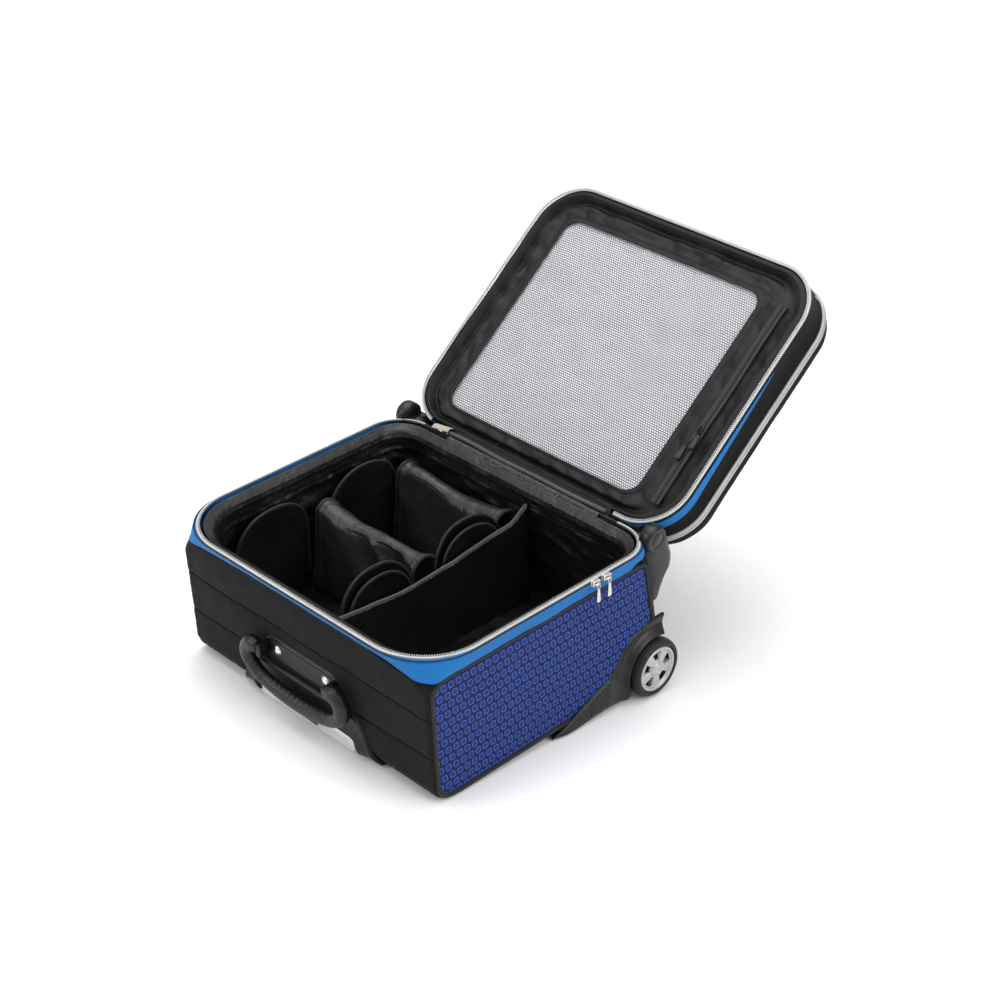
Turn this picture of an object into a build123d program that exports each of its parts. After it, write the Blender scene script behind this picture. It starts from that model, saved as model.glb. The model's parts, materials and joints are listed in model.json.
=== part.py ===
from build123d import *

import math
import os

os.makedirs("parts", exist_ok=True)

# Trolley bag for lawn bowls, lying on its back with the lid open.
# Frame: origin at the middle of the bag's back face, X across the bag (wheel axle direction),
# -Y towards the end with the carry handle, +Y towards the wheels and the lid hinge, +Z up out of the mouth.

# body
body_width = 420.0          # over the side panels
body_length = 376.0         # along the back face
side_height = 170.0         # height of the side panels
front_lean = 10.0           # the handle end leans out by this much at side_height
rear_lean = 34.0            # the wheel end leans in by this much at side_height
panel_wall = 4.0            # padded panel thickness
piping_radius = 2.5
body_corner = 22.0          # radius where the back turns up into the ends

# mouth and zip
rim_flare = 14.0            # how much wider the mouth is than the body
rim_overhang = 21.0         # mouth beyond the handle end of the back face
rim_setback = 28.0          # mouth short of the wheel end of the back face
rim_lift = 22.0             # mouth above the side panels
rim_corner = 85.0
zip_width = 7.0
zip_thickness = 3.0
gusset_wall = 3.0

# lining and dividers
floor_height = 27.0         # top of the lining's floor
lining_wall = 2.0
saddle_end = 6.0            # open end beside the shoe compartment
saddle_end_gap = 8.0        # between a saddle's other end and the left sleeves
saddle_shift = 6.0          # middle saddle off the middle of the gap between the sleeves
saddle_back_inset = 48.0    # back saddle from the lining's back wall
saddle_base = 46.0
saddle_crown = 24.0
saddle_top = 150.0
saddle_wall = 3.0
sleeve_front_gap = 36.0     # lining's front wall to the front sleeves
sleeve_middle_gap = 32.0    # between the front and back sleeves
sleeve_back_gap = 57.0      # back sleeves to the lining's back wall
sleeve_top = 172.0
sleeve_thickness = 8.0
sleeve_inset = 26.0         # left sleeves from the side of the body
sleeve_right = 14.0
shoe_divider_place = 28.0
shoe_divider_thickness = 3.0
shoe_divider_top = 150.0

# lid
lid_angle = 38.9            # rise of the open lid above the horizontal
lid_corner = 62.0
lid_zip_drop = 0.6          # zip halves stop this far from the rim plane
gusset_depth = 46.0         # first zip to second zip
pocket_zip_depth = 7.0
pocket_depth = 26.0         # outer pocket panel beyond its zip
pocket_edge = 12.0
lid_board_thickness = 3.0
mesh_side_margin = 62.0
mesh_low_margin = 31.0      # from the hinge end of the lid
mesh_high_margin = 53.0     # from the handle end of the lid
mesh_corner = 26.0
mesh_thickness = 1.2
hinge_binding_radius = 2.5

# carry handle
handle_height = 82.0        # pivots above the back face, along the end panel
handle_pivot_span = 140.0
handle_radius = 7.5
handle_drop = 42.0
handle_standoff = 17.0
handle_plate_width = 126.0
handle_plate_height = 32.0
handle_plate_thickness = 5.0
rivet_span = 84.0
rivet_radius = 5.5
pin_radius = 2.5
pin_clearance = 0.05

# trolley handle
tube_place = 60.0           # tube centres either side of the middle
tube_height = 14.5          # tube centre above the back face
outer_tube_size = (22.0, 15.0)
tube_wall = 1.3
tube_clearance = 0.4
tube_travel = 230.0
tube_front_inset = 16.0     # from the handle end of the back face
tube_back_inset = 38.0      # from the wheel end of the back face
grip_width = 168.0
grip_height = 20.0
grip_depth = 22.0
grip_radius = 8.0
grip_clearance = 1.0
bezel_width = 244.0
bezel_top_width = 150.0
bezel_height = 58.0
bezel_thickness = 9.0
button_width = 38.0
button_height = 9.0
button_depth = 9.0
button_travel = 3.5
button_clearance = 0.3

# wheels
wheel_setback = 30.0        # axle from the wheel end of the back face
wheel_z = 17.0
tyre_radius = 38.0
hub_radius = 30.0
wheel_tuck = 2.0            # inner face of the wheel inside the side of the body
wheel_width = 22.0
axle_radius = 4.0
axle_clearance = 0.05
hub_bore_radius = axle_radius + axle_clearance
hub_wall = 4.0
spoke_count = 5
cap_radius = 9.0
cap_thickness = 3.0
arch_clearance = 4.0
housing_wall = 3.5
housing_lip = 12.0          # how far the fender stands out of the side panel
runner_depth = 10.0
runner_tuck = 28.0          # inner edge of the runner inside the side of the body

# stand feet
foot_width = 36.0
foot_overhang = 4.0         # outer face beyond the side of the body
barrel_radius = 19.5        # round head on the hinge line, inside the sweep of the lid's corner
barrel_width = 13.0

# zip sliders
slider_length = 14.0
slider_width = 7.0
slider_height = 7.0
slider_gap = 0.4
pull_length = 26.0
pull_width = 6.0
pull_thickness = 2.0

# places worked out from the sizes above
fit_gap = 0.3
half_width = body_width / 2
half_length = body_length / 2
wrap_half = half_width - 2 * piping_radius
rim_width = body_width + rim_flare
rim_half = rim_width / 2
rim_front = -half_length - rim_overhang
rim_back = half_length - rim_setback
rim_height = side_height + rim_lift
hinge_y = rim_back + hinge_binding_radius + 0.5
hinge_z = rim_height
tyre_bore = hub_radius
arch_radius = tyre_radius + arch_clearance
housing_radius = arch_radius + housing_wall
wheel_y = half_length - wheel_setback
wheel_inner = half_width - wheel_tuck
runner_inner = half_width - runner_tuck
foot_face = wheel_y + tyre_radius
foot_outer = half_width + foot_overhang
tube_front = -half_length + tube_front_inset
tube_back = half_length - tube_back_inset
gusset_base = side_height
lid_start = hinge_binding_radius + 0.5
lid_length = rim_back - rim_front - lid_start

lean_angle = math.atan2(front_lean, side_height)
end_plane = Plane(
    origin=(0, -half_length, 0),
    x_dir=(1, 0, 0),
    z_dir=(0, -math.cos(lean_angle), -math.sin(lean_angle)),
)
lid_rise = math.radians(lid_angle)
lid_plane = Plane(
    origin=(0, hinge_y, hinge_z),
    x_dir=(1, 0, 0),
    z_dir=(0, -math.sin(lid_rise), math.cos(lid_rise)),
)
lid_axis = Axis(lid_plane.origin, lid_plane.z_dir)


def near_wheel(*offsets):
    """Points of the side view given as distances back and up from the wheel's centre."""
    return [(wheel_y + back, wheel_z + up) for back, up in offsets]


def near_hinge(*offsets):
    """Points of the side view given as distances back and up from the lid's hinge."""
    return [(hinge_y + back, hinge_z + up) for back, up in offsets]


runner_ends = (wheel_y - 150, wheel_y - 50)
runner_flat = (wheel_y - 125, wheel_y - 76)
runner_middle = sum(runner_ends) / 2
runner_length = runner_ends[1] - runner_ends[0]


def side_outline(growth, top=side_height):
    """Outline of the body seen from the side, drawn in the current sketch and grown by a distance."""
    reach = top / side_height
    points = [
        (-half_length, 0),
        (-half_length - front_lean * reach, top),
        (half_length - rear_lean * reach, top),
        (half_length, 0),
    ]
    with BuildLine() as side_line:
        Polyline(*points, close=True)
    make_face(side_line.edges())
    fillet(vertices().group_by(Axis.Y)[0], radius=body_corner)
    if growth:
        offset(amount=growth, kind=Kind.INTERSECTION, mode=Mode.REPLACE)


def rim_sketch(width, front, back, corner):
    """Rounded rectangle from front to back, drawn in the current sketch."""
    with Locations((0, (front + back) / 2)):
        RectangleRounded(width, back - front, corner)


def wheel_hole(start, reach):
    """Cylinder that clears the wheel arch, cut from the current part."""
    middle = (start + reach) / 2
    with Locations(Location((middle, wheel_y, wheel_z), (0, 90, 0))):
        Cylinder(housing_radius + fit_gap, reach - start, mode=Mode.SUBTRACT)
    with Locations(Location((-middle, wheel_y, wheel_z), (0, 90, 0))):
        Cylinder(housing_radius + fit_gap, reach - start, mode=Mode.SUBTRACT)


def foot_relief():
    """Solid of the body with a small gap, which the stand feet are shaped round."""
    with BuildPart() as body_block:
        with BuildSketch(Plane.YZ):
            side_outline(fit_gap)
        extrude(amount=half_width + fit_gap, both=True)
        with BuildSketch(Plane.XY.offset(gusset_base)):
            rim_sketch(
                body_width + 2 * fit_gap, -half_length - front_lean - fit_gap,
                half_length - rear_lean + fit_gap, body_corner * 2,
            )
        with BuildSketch(Plane.XY.offset(rim_height)):
            rim_sketch(rim_width + 4 * fit_gap, rim_front, rim_back + 2 * fit_gap, rim_corner)
        loft()
        with BuildSketch(Plane.XY.offset(rim_height)):
            rim_sketch(rim_width + 4 * fit_gap, rim_front, rim_back + 2 * fit_gap, rim_corner)
        extrude(amount=30)
    return body_block.part


def grip_hole():
    """Slot in the handle end that the trolley grip and its tubes pass through."""
    with Locations((0, -half_length - 20, tube_height)):
        Box(
            grip_width + 2 * grip_clearance, 2 * (body_corner + 20), grip_height + 2 * grip_clearance,
            mode=Mode.SUBTRACT,
        )


def runner_notches():
    """Edges of the back panel cut away over the two runners."""
    notch_width = half_width - runner_inner + fit_gap
    notch_place = runner_inner - fit_gap + notch_width / 2
    with Locations((-notch_place, runner_middle, 0), (notch_place, runner_middle, 0)):
        Box(notch_width, runner_length + 2 * fit_gap, 3 * panel_wall, mode=Mode.SUBTRACT)


# wrap of three panels round the ends and the back
wrap_regions = {
    "top_end_panel": ((-half_length - 30, body_corner), (-half_length + 60, side_height)),
    "back_panel": ((-half_length - 30, -5), (half_length + 30, body_corner)),
    "bottom_end_panel": ((half_length - 80, body_corner), (half_length + 30, side_height)),
}

for panel_name, (low, high) in wrap_regions.items():
    with BuildPart() as wrap_panel:
        with BuildSketch(Plane.YZ) as wrap_section:
            side_outline(0, top=side_height + 2 * panel_wall)
            offset(amount=-panel_wall, kind=Kind.INTERSECTION, mode=Mode.SUBTRACT)
            with Locations(((low[0] + high[0]) / 2, (low[1] + high[1]) / 2)):
                Rectangle(high[0] - low[0], high[1] - low[1], mode=Mode.INTERSECT)
        extrude(amount=wrap_half, both=True)
        if panel_name != "top_end_panel":
            wheel_hole(runner_inner + 20, half_width + 10)
        if panel_name != "bottom_end_panel":
            grip_hole()
        if panel_name == "back_panel":
            runner_notches()
    wrap_panel.part.label = panel_name
    export_step(wrap_panel.part, f"parts/{panel_name}.step")

# stiff board on the back, between the panel and the trolley tubes
with BuildPart() as back_board:
    with Locations((0, 0, panel_wall + fit_gap + 0.75)):
        Box(body_width - 40, body_length - 2 * body_corner - 12, 1.5)
back_board.part.label = "back_board"
export_step(back_board.part, "parts/back_board.step")

# side panels and their piping
for side_name, side in {"left": -1, "right": 1}.items():
    with BuildPart() as side_panel:
        with BuildSketch(Plane.YZ.offset(side * wrap_half)):
            side_outline(-2 * piping_radius)
        extrude(amount=side * panel_wall)
        wheel_hole(wrap_half - 5, half_width + 10)
    side_panel.part.label = f"side_panel_{side_name}"
    export_step(side_panel.part, f"parts/side_panel_{side_name}.step")

    with BuildPart() as piping:
        with BuildSketch(Plane.YZ.offset(side * wrap_half)):
            side_outline(0)
            offset(amount=-2 * piping_radius, kind=Kind.INTERSECTION, mode=Mode.SUBTRACT)
        extrude(amount=side * 2 * piping_radius)
        wheel_hole(wrap_half - 5, half_width + 10)
    piping.part.label = f"piping_{side_name}"
    export_step(piping.part, f"parts/piping_{side_name}.step")

# coloured gusset that spreads from the body up to the zip
with BuildPart() as zip_gusset:
    with BuildSketch(Plane.XY.offset(gusset_base)):
        rim_sketch(body_width, -half_length - front_lean, half_length - rear_lean, body_corner * 2)
    with BuildSketch(Plane.XY.offset(rim_height - zip_thickness)):
        rim_sketch(rim_width, rim_front, rim_back, rim_corner)
    loft()
    with BuildSketch(Plane.XY.offset(gusset_base)):
        rim_sketch(
            body_width - 2 * gusset_wall,
            -half_length - front_lean + gusset_wall,
            half_length - rear_lean - gusset_wall,
            body_corner * 2 - gusset_wall,
        )
    with BuildSketch(Plane.XY.offset(rim_height - zip_thickness)):
        rim_sketch(
            rim_width - 2 * gusset_wall,
            rim_front + gusset_wall,
            rim_back - gusset_wall,
            rim_corner - gusset_wall,
        )
    loft(mode=Mode.SUBTRACT)
zip_gusset.part.label = "zip_gusset"
export_step(zip_gusset.part, "parts/zip_gusset.step")

# body half of the main zip: runs round three sides and stops at the hinge
with BuildPart() as body_zip:
    with BuildSketch(Plane.XY.offset(rim_height - zip_thickness)):
        rim_sketch(rim_width, rim_front, rim_back, rim_corner)
        offset(amount=-zip_width, mode=Mode.SUBTRACT)
        with Locations((0, rim_back)):
            Rectangle(rim_width - 2 * rim_corner, 3 * zip_width, mode=Mode.SUBTRACT)
    extrude(amount=zip_thickness - lid_zip_drop)
body_zip.part.label = "body_zip"
export_step(body_zip.part, "parts/body_zip.step")

# lining: an open tub that hangs from the rim
tub_low = (-half_length + panel_wall + 3, half_length - panel_wall - 12)
tub_high = (-half_length - front_lean + panel_wall + 2, half_length - rear_lean - panel_wall - 4)
tub_top = rim_height - zip_thickness - fit_gap
tub_low_width = body_width - 30
tub_high_width = 2 * wrap_half - 4
with BuildPart() as lining:
    with BuildSketch(Plane.XY.offset(floor_height - lining_wall)):
        rim_sketch(tub_low_width, tub_low[0], tub_low[1], rim_corner - 35)
    with BuildSketch(Plane.XY.offset(tub_top)):
        rim_sketch(tub_high_width, tub_high[0], tub_high[1], rim_corner - zip_width)
    loft()
    with BuildSketch(Plane.XY.offset(floor_height)):
        rim_sketch(
            tub_low_width - 2 * lining_wall, tub_low[0] + lining_wall, tub_low[1] - lining_wall,
            rim_corner - 35 - lining_wall,
        )
    with BuildSketch(Plane.XY.offset(tub_top)):
        rim_sketch(
            tub_high_width - 2 * lining_wall, tub_high[0] + lining_wall,
            tub_high[1] - lining_wall, rim_corner - zip_width - lining_wall,
        )
    loft(mode=Mode.SUBTRACT)
lining.part.label = "lining"
export_step(lining.part, "parts/lining.step")

# places of the sleeves and saddles inside the lining
sleeve_gaps = sleeve_front_gap + sleeve_middle_gap + sleeve_back_gap
sleeve_width = (tub_low[1] - tub_low[0] - sleeve_gaps) / 2
sleeve_rows = (
    tub_low[0] + sleeve_front_gap + sleeve_width / 2,
    tub_low[1] - sleeve_back_gap - sleeve_width / 2,
)
sleeve_stations = {"left": -half_width + sleeve_inset, "right": sleeve_right}
saddle_rows = (sum(sleeve_rows) / 2 + saddle_shift, tub_low[1] - saddle_back_inset)
saddle_length = saddle_end - sleeve_stations["left"] - sleeve_thickness / 2 - saddle_end_gap

# saddle dividers: upside-down U sections between the rows of bowls
for saddle_name, row in zip(("saddle_divider_middle", "saddle_divider_back"), saddle_rows):
    with BuildPart() as saddle:
        with BuildSketch(Plane.YZ.offset(saddle_end)):
            with BuildLine() as saddle_line:
                Polyline(
                    (row - saddle_base / 2, floor_height + fit_gap),
                    (row - saddle_crown / 2, saddle_top),
                    (row + saddle_crown / 2, saddle_top),
                    (row + saddle_base / 2, floor_height + fit_gap),
                    close=True,
                )
            make_face(saddle_line.edges())
            fillet(vertices().group_by(Axis.Y)[-1], radius=saddle_crown / 2 - 1)
            offset(amount=-saddle_wall, mode=Mode.SUBTRACT)
            with Locations((row, floor_height)):
                Rectangle(saddle_base * 2, 4 * saddle_wall, mode=Mode.SUBTRACT)
        extrude(amount=-saddle_length)
    saddle.part.label = saddle_name
    export_step(saddle.part, f"parts/{saddle_name}.step")

# round-topped sleeves that hold each bowl from the sides
for station, place in sleeve_stations.items():
    for row_name, row in zip(("front", "back"), sleeve_rows):
        with BuildPart() as sleeve:
            top_radius = sleeve_width / 2
            with BuildSketch(Plane.YZ.offset(place - sleeve_thickness / 2)):
                with Locations((row, sleeve_top - top_radius)):
                    Circle(top_radius)
                with Locations((row, (sleeve_top - top_radius + floor_height + fit_gap) / 2)):
                    Rectangle(sleeve_width, sleeve_top - top_radius - floor_height - fit_gap)
            extrude(amount=sleeve_thickness)
        sleeve.part.label = f"bowl_sleeve_{station}_{row_name}"
        export_step(sleeve.part, f"parts/bowl_sleeve_{station}_{row_name}.step")

# thin divider beside the shoe compartment
with BuildPart() as shoe_divider:
    divider_ends = (tub_low[0] + 14, tub_low[1] - 30)
    divider_middle = (divider_ends[0] + divider_ends[1]) / 2
    with Locations((shoe_divider_place, divider_middle, (floor_height + shoe_divider_top) / 2 + fit_gap)):
        Box(shoe_divider_thickness, divider_ends[1] - divider_ends[0], shoe_divider_top - floor_height)
shoe_divider.part.label = "shoe_divider"
export_step(shoe_divider.part, "parts/shoe_divider.step")

# piped binding along the hinge line
with BuildPart() as hinge_binding:
    with Locations(Location((0, hinge_y, hinge_z), (0, 90, 0))):
        Cylinder(hinge_binding_radius, rim_width - 2 * rim_corner)
hinge_binding.part.label = "hinge_binding"
export_step(hinge_binding.part, "parts/hinge_binding.step")


# lid, drawn flat on its own plane: local y runs away from the hinge, local -z out of the bag
def lid_sketch(shrink):
    """Rounded outline of the lid, drawn in the current sketch."""
    with Locations((0, lid_start + lid_length / 2)):
        RectangleRounded(rim_width - 2 * shrink, lid_length - 2 * shrink, lid_corner - shrink)


def lid_ring(width):
    """Ring just inside the lid's outline, drawn in the current sketch."""
    lid_sketch(0)
    offset(amount=-width, mode=Mode.SUBTRACT)


gusset_top = -lid_zip_drop - zip_thickness
gusset_low = -gusset_depth
pocket_zip_low = gusset_low - pocket_zip_depth / 2 + fit_gap / 2

with BuildPart() as lid_zip:
    with BuildSketch(lid_plane.offset(-lid_zip_drop)):
        lid_ring(zip_width)
    extrude(amount=-zip_thickness)
lid_zip.part.label = "lid_zip"
export_step(lid_zip.part, "parts/lid_zip.step")

with BuildPart() as lid_gusset:
    with BuildSketch(lid_plane.offset(gusset_top)):
        lid_ring(gusset_wall)
    extrude(amount=gusset_low - gusset_top)
lid_gusset.part.label = "lid_gusset"
export_step(lid_gusset.part, "parts/lid_gusset.step")

# tapering coloured stripes on the gusset's lower sides
with BuildPart() as lid_stripes:
    for side in (-1, 1):
        with BuildSketch(lid_plane * Location((side * rim_half, 0, 0), (0, 90, 0))):
            with BuildLine() as stripe_line:
                Polyline(
                    (-gusset_top + 2, lid_start + lid_corner),
                    (-gusset_top + 22, lid_start + lid_corner),
                    (-gusset_top + 2, lid_start + lid_corner + 130),
                    close=True,
                )
            make_face(stripe_line.edges())
        extrude(amount=side * 0.8)
lid_stripes.part.label = "lid_stripes"
export_step(lid_stripes.part, "parts/lid_stripes.step")

with BuildPart() as lid_board:
    with BuildSketch(lid_plane.offset(gusset_low)):
        lid_sketch(gusset_wall + fit_gap)
    extrude(amount=lid_board_thickness)
lid_board.part.label = "lid_board"
export_step(lid_board.part, "parts/lid_board.step")

# two halves of the outer pocket's zip
with BuildPart() as pocket_zip_upper:
    with BuildSketch(lid_plane.offset(gusset_low)):
        lid_ring(zip_width)
    extrude(amount=pocket_zip_low - gusset_low)
pocket_zip_upper.part.label = "pocket_zip_upper"
export_step(pocket_zip_upper.part, "parts/pocket_zip_upper.step")

with BuildPart() as pocket_zip_lower:
    with BuildSketch(lid_plane.offset(pocket_zip_low - fit_gap)):
        lid_ring(zip_width)
    extrude(amount=-pocket_zip_depth / 2)
pocket_zip_lower.part.label = "pocket_zip_lower"
export_step(pocket_zip_lower.part, "parts/pocket_zip_lower.step")

# outer pocket panel: a shallow tray with a rolled edge
with BuildPart() as pocket_panel:
    pocket_plane = pocket_zip_low - fit_gap - pocket_zip_depth / 2
    with BuildSketch(lid_plane.offset(pocket_plane)):
        lid_sketch(1)
    extrude(amount=-pocket_depth)
    fillet(edges().group_by(lid_axis)[0], radius=pocket_edge)
    offset(amount=-gusset_wall, openings=faces().sort_by(lid_axis)[-1])
pocket_panel.part.label = "pocket_panel"
export_step(pocket_panel.part, "parts/pocket_panel.step")

# mesh pocket inside the lid: binding frame, net and its zip
mesh_window_width = rim_width - 2 * mesh_side_margin
mesh_window_low = lid_start + mesh_low_margin
mesh_window_high = lid_start + lid_length - mesh_high_margin
mesh_middle = (mesh_window_low + mesh_window_high) / 2
with BuildPart() as mesh_frame:
    with BuildSketch(lid_plane.offset(gusset_top)):
        lid_sketch(zip_width)
        with Locations((0, mesh_middle)):
            RectangleRounded(
                mesh_window_width, mesh_window_high - mesh_window_low, mesh_corner, mode=Mode.SUBTRACT,
            )
    extrude(amount=zip_thickness - fit_gap)
mesh_frame.part.label = "mesh_frame"
export_step(mesh_frame.part, "parts/mesh_frame.step")

with BuildPart() as mesh_net:
    with BuildSketch(lid_plane.offset(gusset_top)):
        with Locations((0, mesh_middle)):
            RectangleRounded(
                mesh_window_width - fit_gap, mesh_window_high - mesh_window_low - fit_gap, mesh_corner,
            )
    extrude(amount=mesh_thickness)
mesh_net.part.label = "mesh_net"
export_step(mesh_net.part, "parts/mesh_net.step")

mesh_zip_place = (mesh_window_width / 2 + rim_half - zip_width) / 2
mesh_zip_top = gusset_top + zip_thickness
with BuildPart() as mesh_zip:
    with BuildSketch(lid_plane.offset(mesh_zip_top)):
        with Locations((mesh_zip_place, mesh_middle)):
            Rectangle(zip_width, mesh_window_high - mesh_window_low)
    extrude(amount=1.0)
mesh_zip.part.label = "mesh_zip"
export_step(mesh_zip.part, "parts/mesh_zip.step")

# sliders of the mesh pocket's zip, each with a long rubber pull
mesh_slider_places = {"lower": 120.0, "upper": 138.0}
mesh_slider_plane = lid_plane.offset(mesh_zip_top + 1.0 + fit_gap)
for slider_name, station in mesh_slider_places.items():
    with BuildPart() as mesh_slider:
        with BuildSketch(mesh_slider_plane):
            with Locations((mesh_zip_place, station)):
                RectangleRounded(slider_width, slider_length, 2)
        extrude(amount=3)
    mesh_slider.part.label = f"mesh_slider_{slider_name}"
    export_step(mesh_slider.part, f"parts/mesh_slider_{slider_name}.step")

    with BuildPart() as mesh_pull:
        with BuildSketch(mesh_slider_plane.offset(3 + fit_gap)):
            side = 1 if slider_name == "upper" else -1
            with Locations((mesh_zip_place + side * slider_width * 0.6, station - pull_length / 2)):
                RectangleRounded(pull_width, pull_length, 2)
        extrude(amount=pull_thickness)
    mesh_pull.part.label = f"mesh_pull_{slider_name}"
    export_step(mesh_pull.part, f"parts/mesh_pull_{slider_name}.step")

# slider of the outer pocket's zip, on the left side of the lid
pocket_slider_station = 250.0
with BuildPart() as pocket_slider:
    slider_depth = gusset_low - pocket_zip_depth / 2
    with Locations(lid_plane * Location((-rim_half - slider_gap - 2, pocket_slider_station, slider_depth))):
        Box(4, slider_length, slider_width)
pocket_slider.part.label = "pocket_slider"
export_step(pocket_slider.part, "parts/pocket_slider.step")

pocket_slider_seat = lid_plane * Location((-rim_half - slider_gap - 4, pocket_slider_station, slider_depth))
with BuildPart() as pocket_pull:
    pull_x = pocket_slider_seat.position.X - fit_gap - pull_thickness / 2
    pull_z = pocket_slider_seat.position.Z - pull_length / 2 + 3
    with Locations((pull_x, pocket_slider_seat.position.Y, pull_z)):
        Box(pull_thickness, pull_width, pull_length)
pocket_pull.part.label = "pocket_pull"
export_step(pocket_pull.part, "parts/pocket_pull.step")

# sliders of the main zip, parked on the right side near the back corner
slider_stations = {"front": rim_back - rim_corner - 23, "back": rim_back - rim_corner - 5}
slider_x = rim_half + slider_gap + slider_width / 2
slider_z = rim_height - lid_zip_drop - slider_height / 2 - 1
for slider_name, station in slider_stations.items():
    with BuildPart() as main_slider:
        with Locations((slider_x, station, slider_z)):
            Box(slider_width, slider_length, slider_height)
        fillet(edges().filter_by(Axis.Z), radius=2)
    main_slider.part.label = f"main_slider_{slider_name}"
    export_step(main_slider.part, f"parts/main_slider_{slider_name}.step")

    with BuildPart() as main_pull:
        pull_x = slider_x + slider_width / 2 + fit_gap + pull_thickness / 2
        with Locations((pull_x, station, slider_z - pull_length / 2 + 2)):
            Box(pull_thickness, pull_width, pull_length)
        fillet(edges().filter_by(Axis.X), radius=2)
    main_pull.part.label = f"main_pull_{slider_name}"
    export_step(main_pull.part, f"parts/main_pull_{slider_name}.step")

# carry handle: plate, rivets, pivot pins and the swinging grip
plate_plane = end_plane.offset(fit_gap)
bracket_reach = handle_standoff + 4
bracket_width = 7.0
bracket_place = handle_pivot_span / 2 - handle_radius - fit_gap - bracket_width / 2
bracket_height = 14.0
with BuildPart() as handle_plate:
    with BuildSketch(plate_plane):
        with Locations((0, handle_height)):
            RectangleRounded(handle_plate_width, handle_plate_height, 10)
    extrude(amount=handle_plate_thickness)
    with BuildSketch(plate_plane):
        with Locations((-bracket_place, handle_height), (bracket_place, handle_height)):
            RectangleRounded(bracket_width, bracket_height, 3)
    extrude(amount=bracket_reach)
    with Locations(end_plane * Location((0, handle_height, handle_standoff), (0, 90, 0))):
        Cylinder(pin_radius, handle_pivot_span * 2, mode=Mode.SUBTRACT)
handle_plate.part.label = "handle_plate"
export_step(handle_plate.part, "parts/handle_plate.step")

with BuildPart() as handle_rivets:
    with BuildSketch(plate_plane.offset(handle_plate_thickness)):
        with Locations((-rivet_span / 2, handle_height), (rivet_span / 2, handle_height)):
            Circle(rivet_radius)
    extrude(amount=2.2)
    fillet(edges().group_by(Axis.Y)[0], radius=1.5)
handle_rivets.part.label = "handle_rivets"
export_step(handle_rivets.part, "parts/handle_rivets.step")

pin_start = bracket_place - bracket_width / 2
pin_length = bracket_width + fit_gap + handle_radius + 2
with BuildPart() as handle_pins:
    for side in (-1, 1):
        pin_middle = side * (pin_start + pin_length / 2)
        with Locations(end_plane * Location((pin_middle, handle_height, handle_standoff), (0, 90, 0))):
            Cylinder(pin_radius, pin_length)
handle_pins.part.label = "handle_pins"
export_step(handle_pins.part, "parts/handle_pins.step")

with BuildPart() as carry_handle:
    with BuildLine(end_plane.offset(handle_standoff)) as handle_path:
        half_span = handle_pivot_span / 2
        FilletPolyline(
            (-half_span, handle_height + 5),
            (-half_span - 6, handle_height - 22),
            (-half_span + 22, handle_height - handle_drop + 4),
            (0, handle_height - handle_drop - 4),
            (half_span - 22, handle_height - handle_drop + 4),
            (half_span + 6, handle_height - 22),
            (half_span, handle_height + 5),
            radius=16,
        )
    with BuildSketch(Plane(origin=handle_path.line @ 0, z_dir=handle_path.line % 0)):
        Circle(handle_radius)
    sweep()
    with Locations(end_plane * Location((0, handle_height, handle_standoff), (0, 90, 0))):
        Cylinder(pin_radius + pin_clearance, handle_pivot_span + 2 * handle_radius + 20, mode=Mode.SUBTRACT)
carry_handle.part.label = "carry_handle"
export_step(carry_handle.part, "parts/carry_handle.step")

# telescopic trolley handle: two guide tubes in the back, two moving stages and the grip
tube_stages = {
    "guide_tubes": 0,
    "middle_tubes": 1,
    "inner_tubes": 2,
}
for stage_name, stage in tube_stages.items():
    stage_shrink = 2 * stage * (tube_wall + tube_clearance)
    stage_width = outer_tube_size[0] - stage_shrink
    stage_height = outer_tube_size[1] - stage_shrink
    stage_back = tube_back - stage * 10
    with BuildPart() as tubes:
        with BuildSketch(Plane.XZ.offset(-tube_front)):
            with Locations((-tube_place, tube_height), (tube_place, tube_height)):
                RectangleRounded(stage_width, stage_height, 2.5)
            with Locations((-tube_place, tube_height), (tube_place, tube_height)):
                RectangleRounded(
                    stage_width - 2 * tube_wall, stage_height - 2 * tube_wall, 1.2, mode=Mode.SUBTRACT,
                )
        extrude(amount=tube_front - stage_back)
    tubes.part.label = stage_name
    export_step(tubes.part, f"parts/{stage_name}.step")

grip_back = tube_front - fit_gap
grip_front = grip_back - grip_depth
grip_middle = (grip_back + grip_front) / 2
button_z = tube_height
with BuildPart() as trolley_grip:
    with Locations((0, grip_middle, tube_height)):
        Box(grip_width, grip_depth, grip_height)
    fillet(edges().filter_by(Axis.X).group_by(Axis.Y)[0], radius=grip_radius)
    button_seat = button_depth + button_travel + button_clearance
    with Locations((0, grip_front + button_seat / 2, button_z)):
        Box(
            button_width + 2 * button_clearance, button_seat, button_height + 2 * button_clearance,
            mode=Mode.SUBTRACT,
        )
trolley_grip.part.label = "trolley_grip"
export_step(trolley_grip.part, "parts/trolley_grip.step")

with BuildPart() as trolley_button:
    with Locations((0, grip_front + button_depth / 2 - 1, button_z)):
        Box(button_width, button_depth, button_height)
    fillet(edges().filter_by(Axis.X).group_by(Axis.Y)[0], radius=2)
trolley_button.part.label = "trolley_button"
export_step(trolley_button.part, "parts/trolley_button.step")

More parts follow.
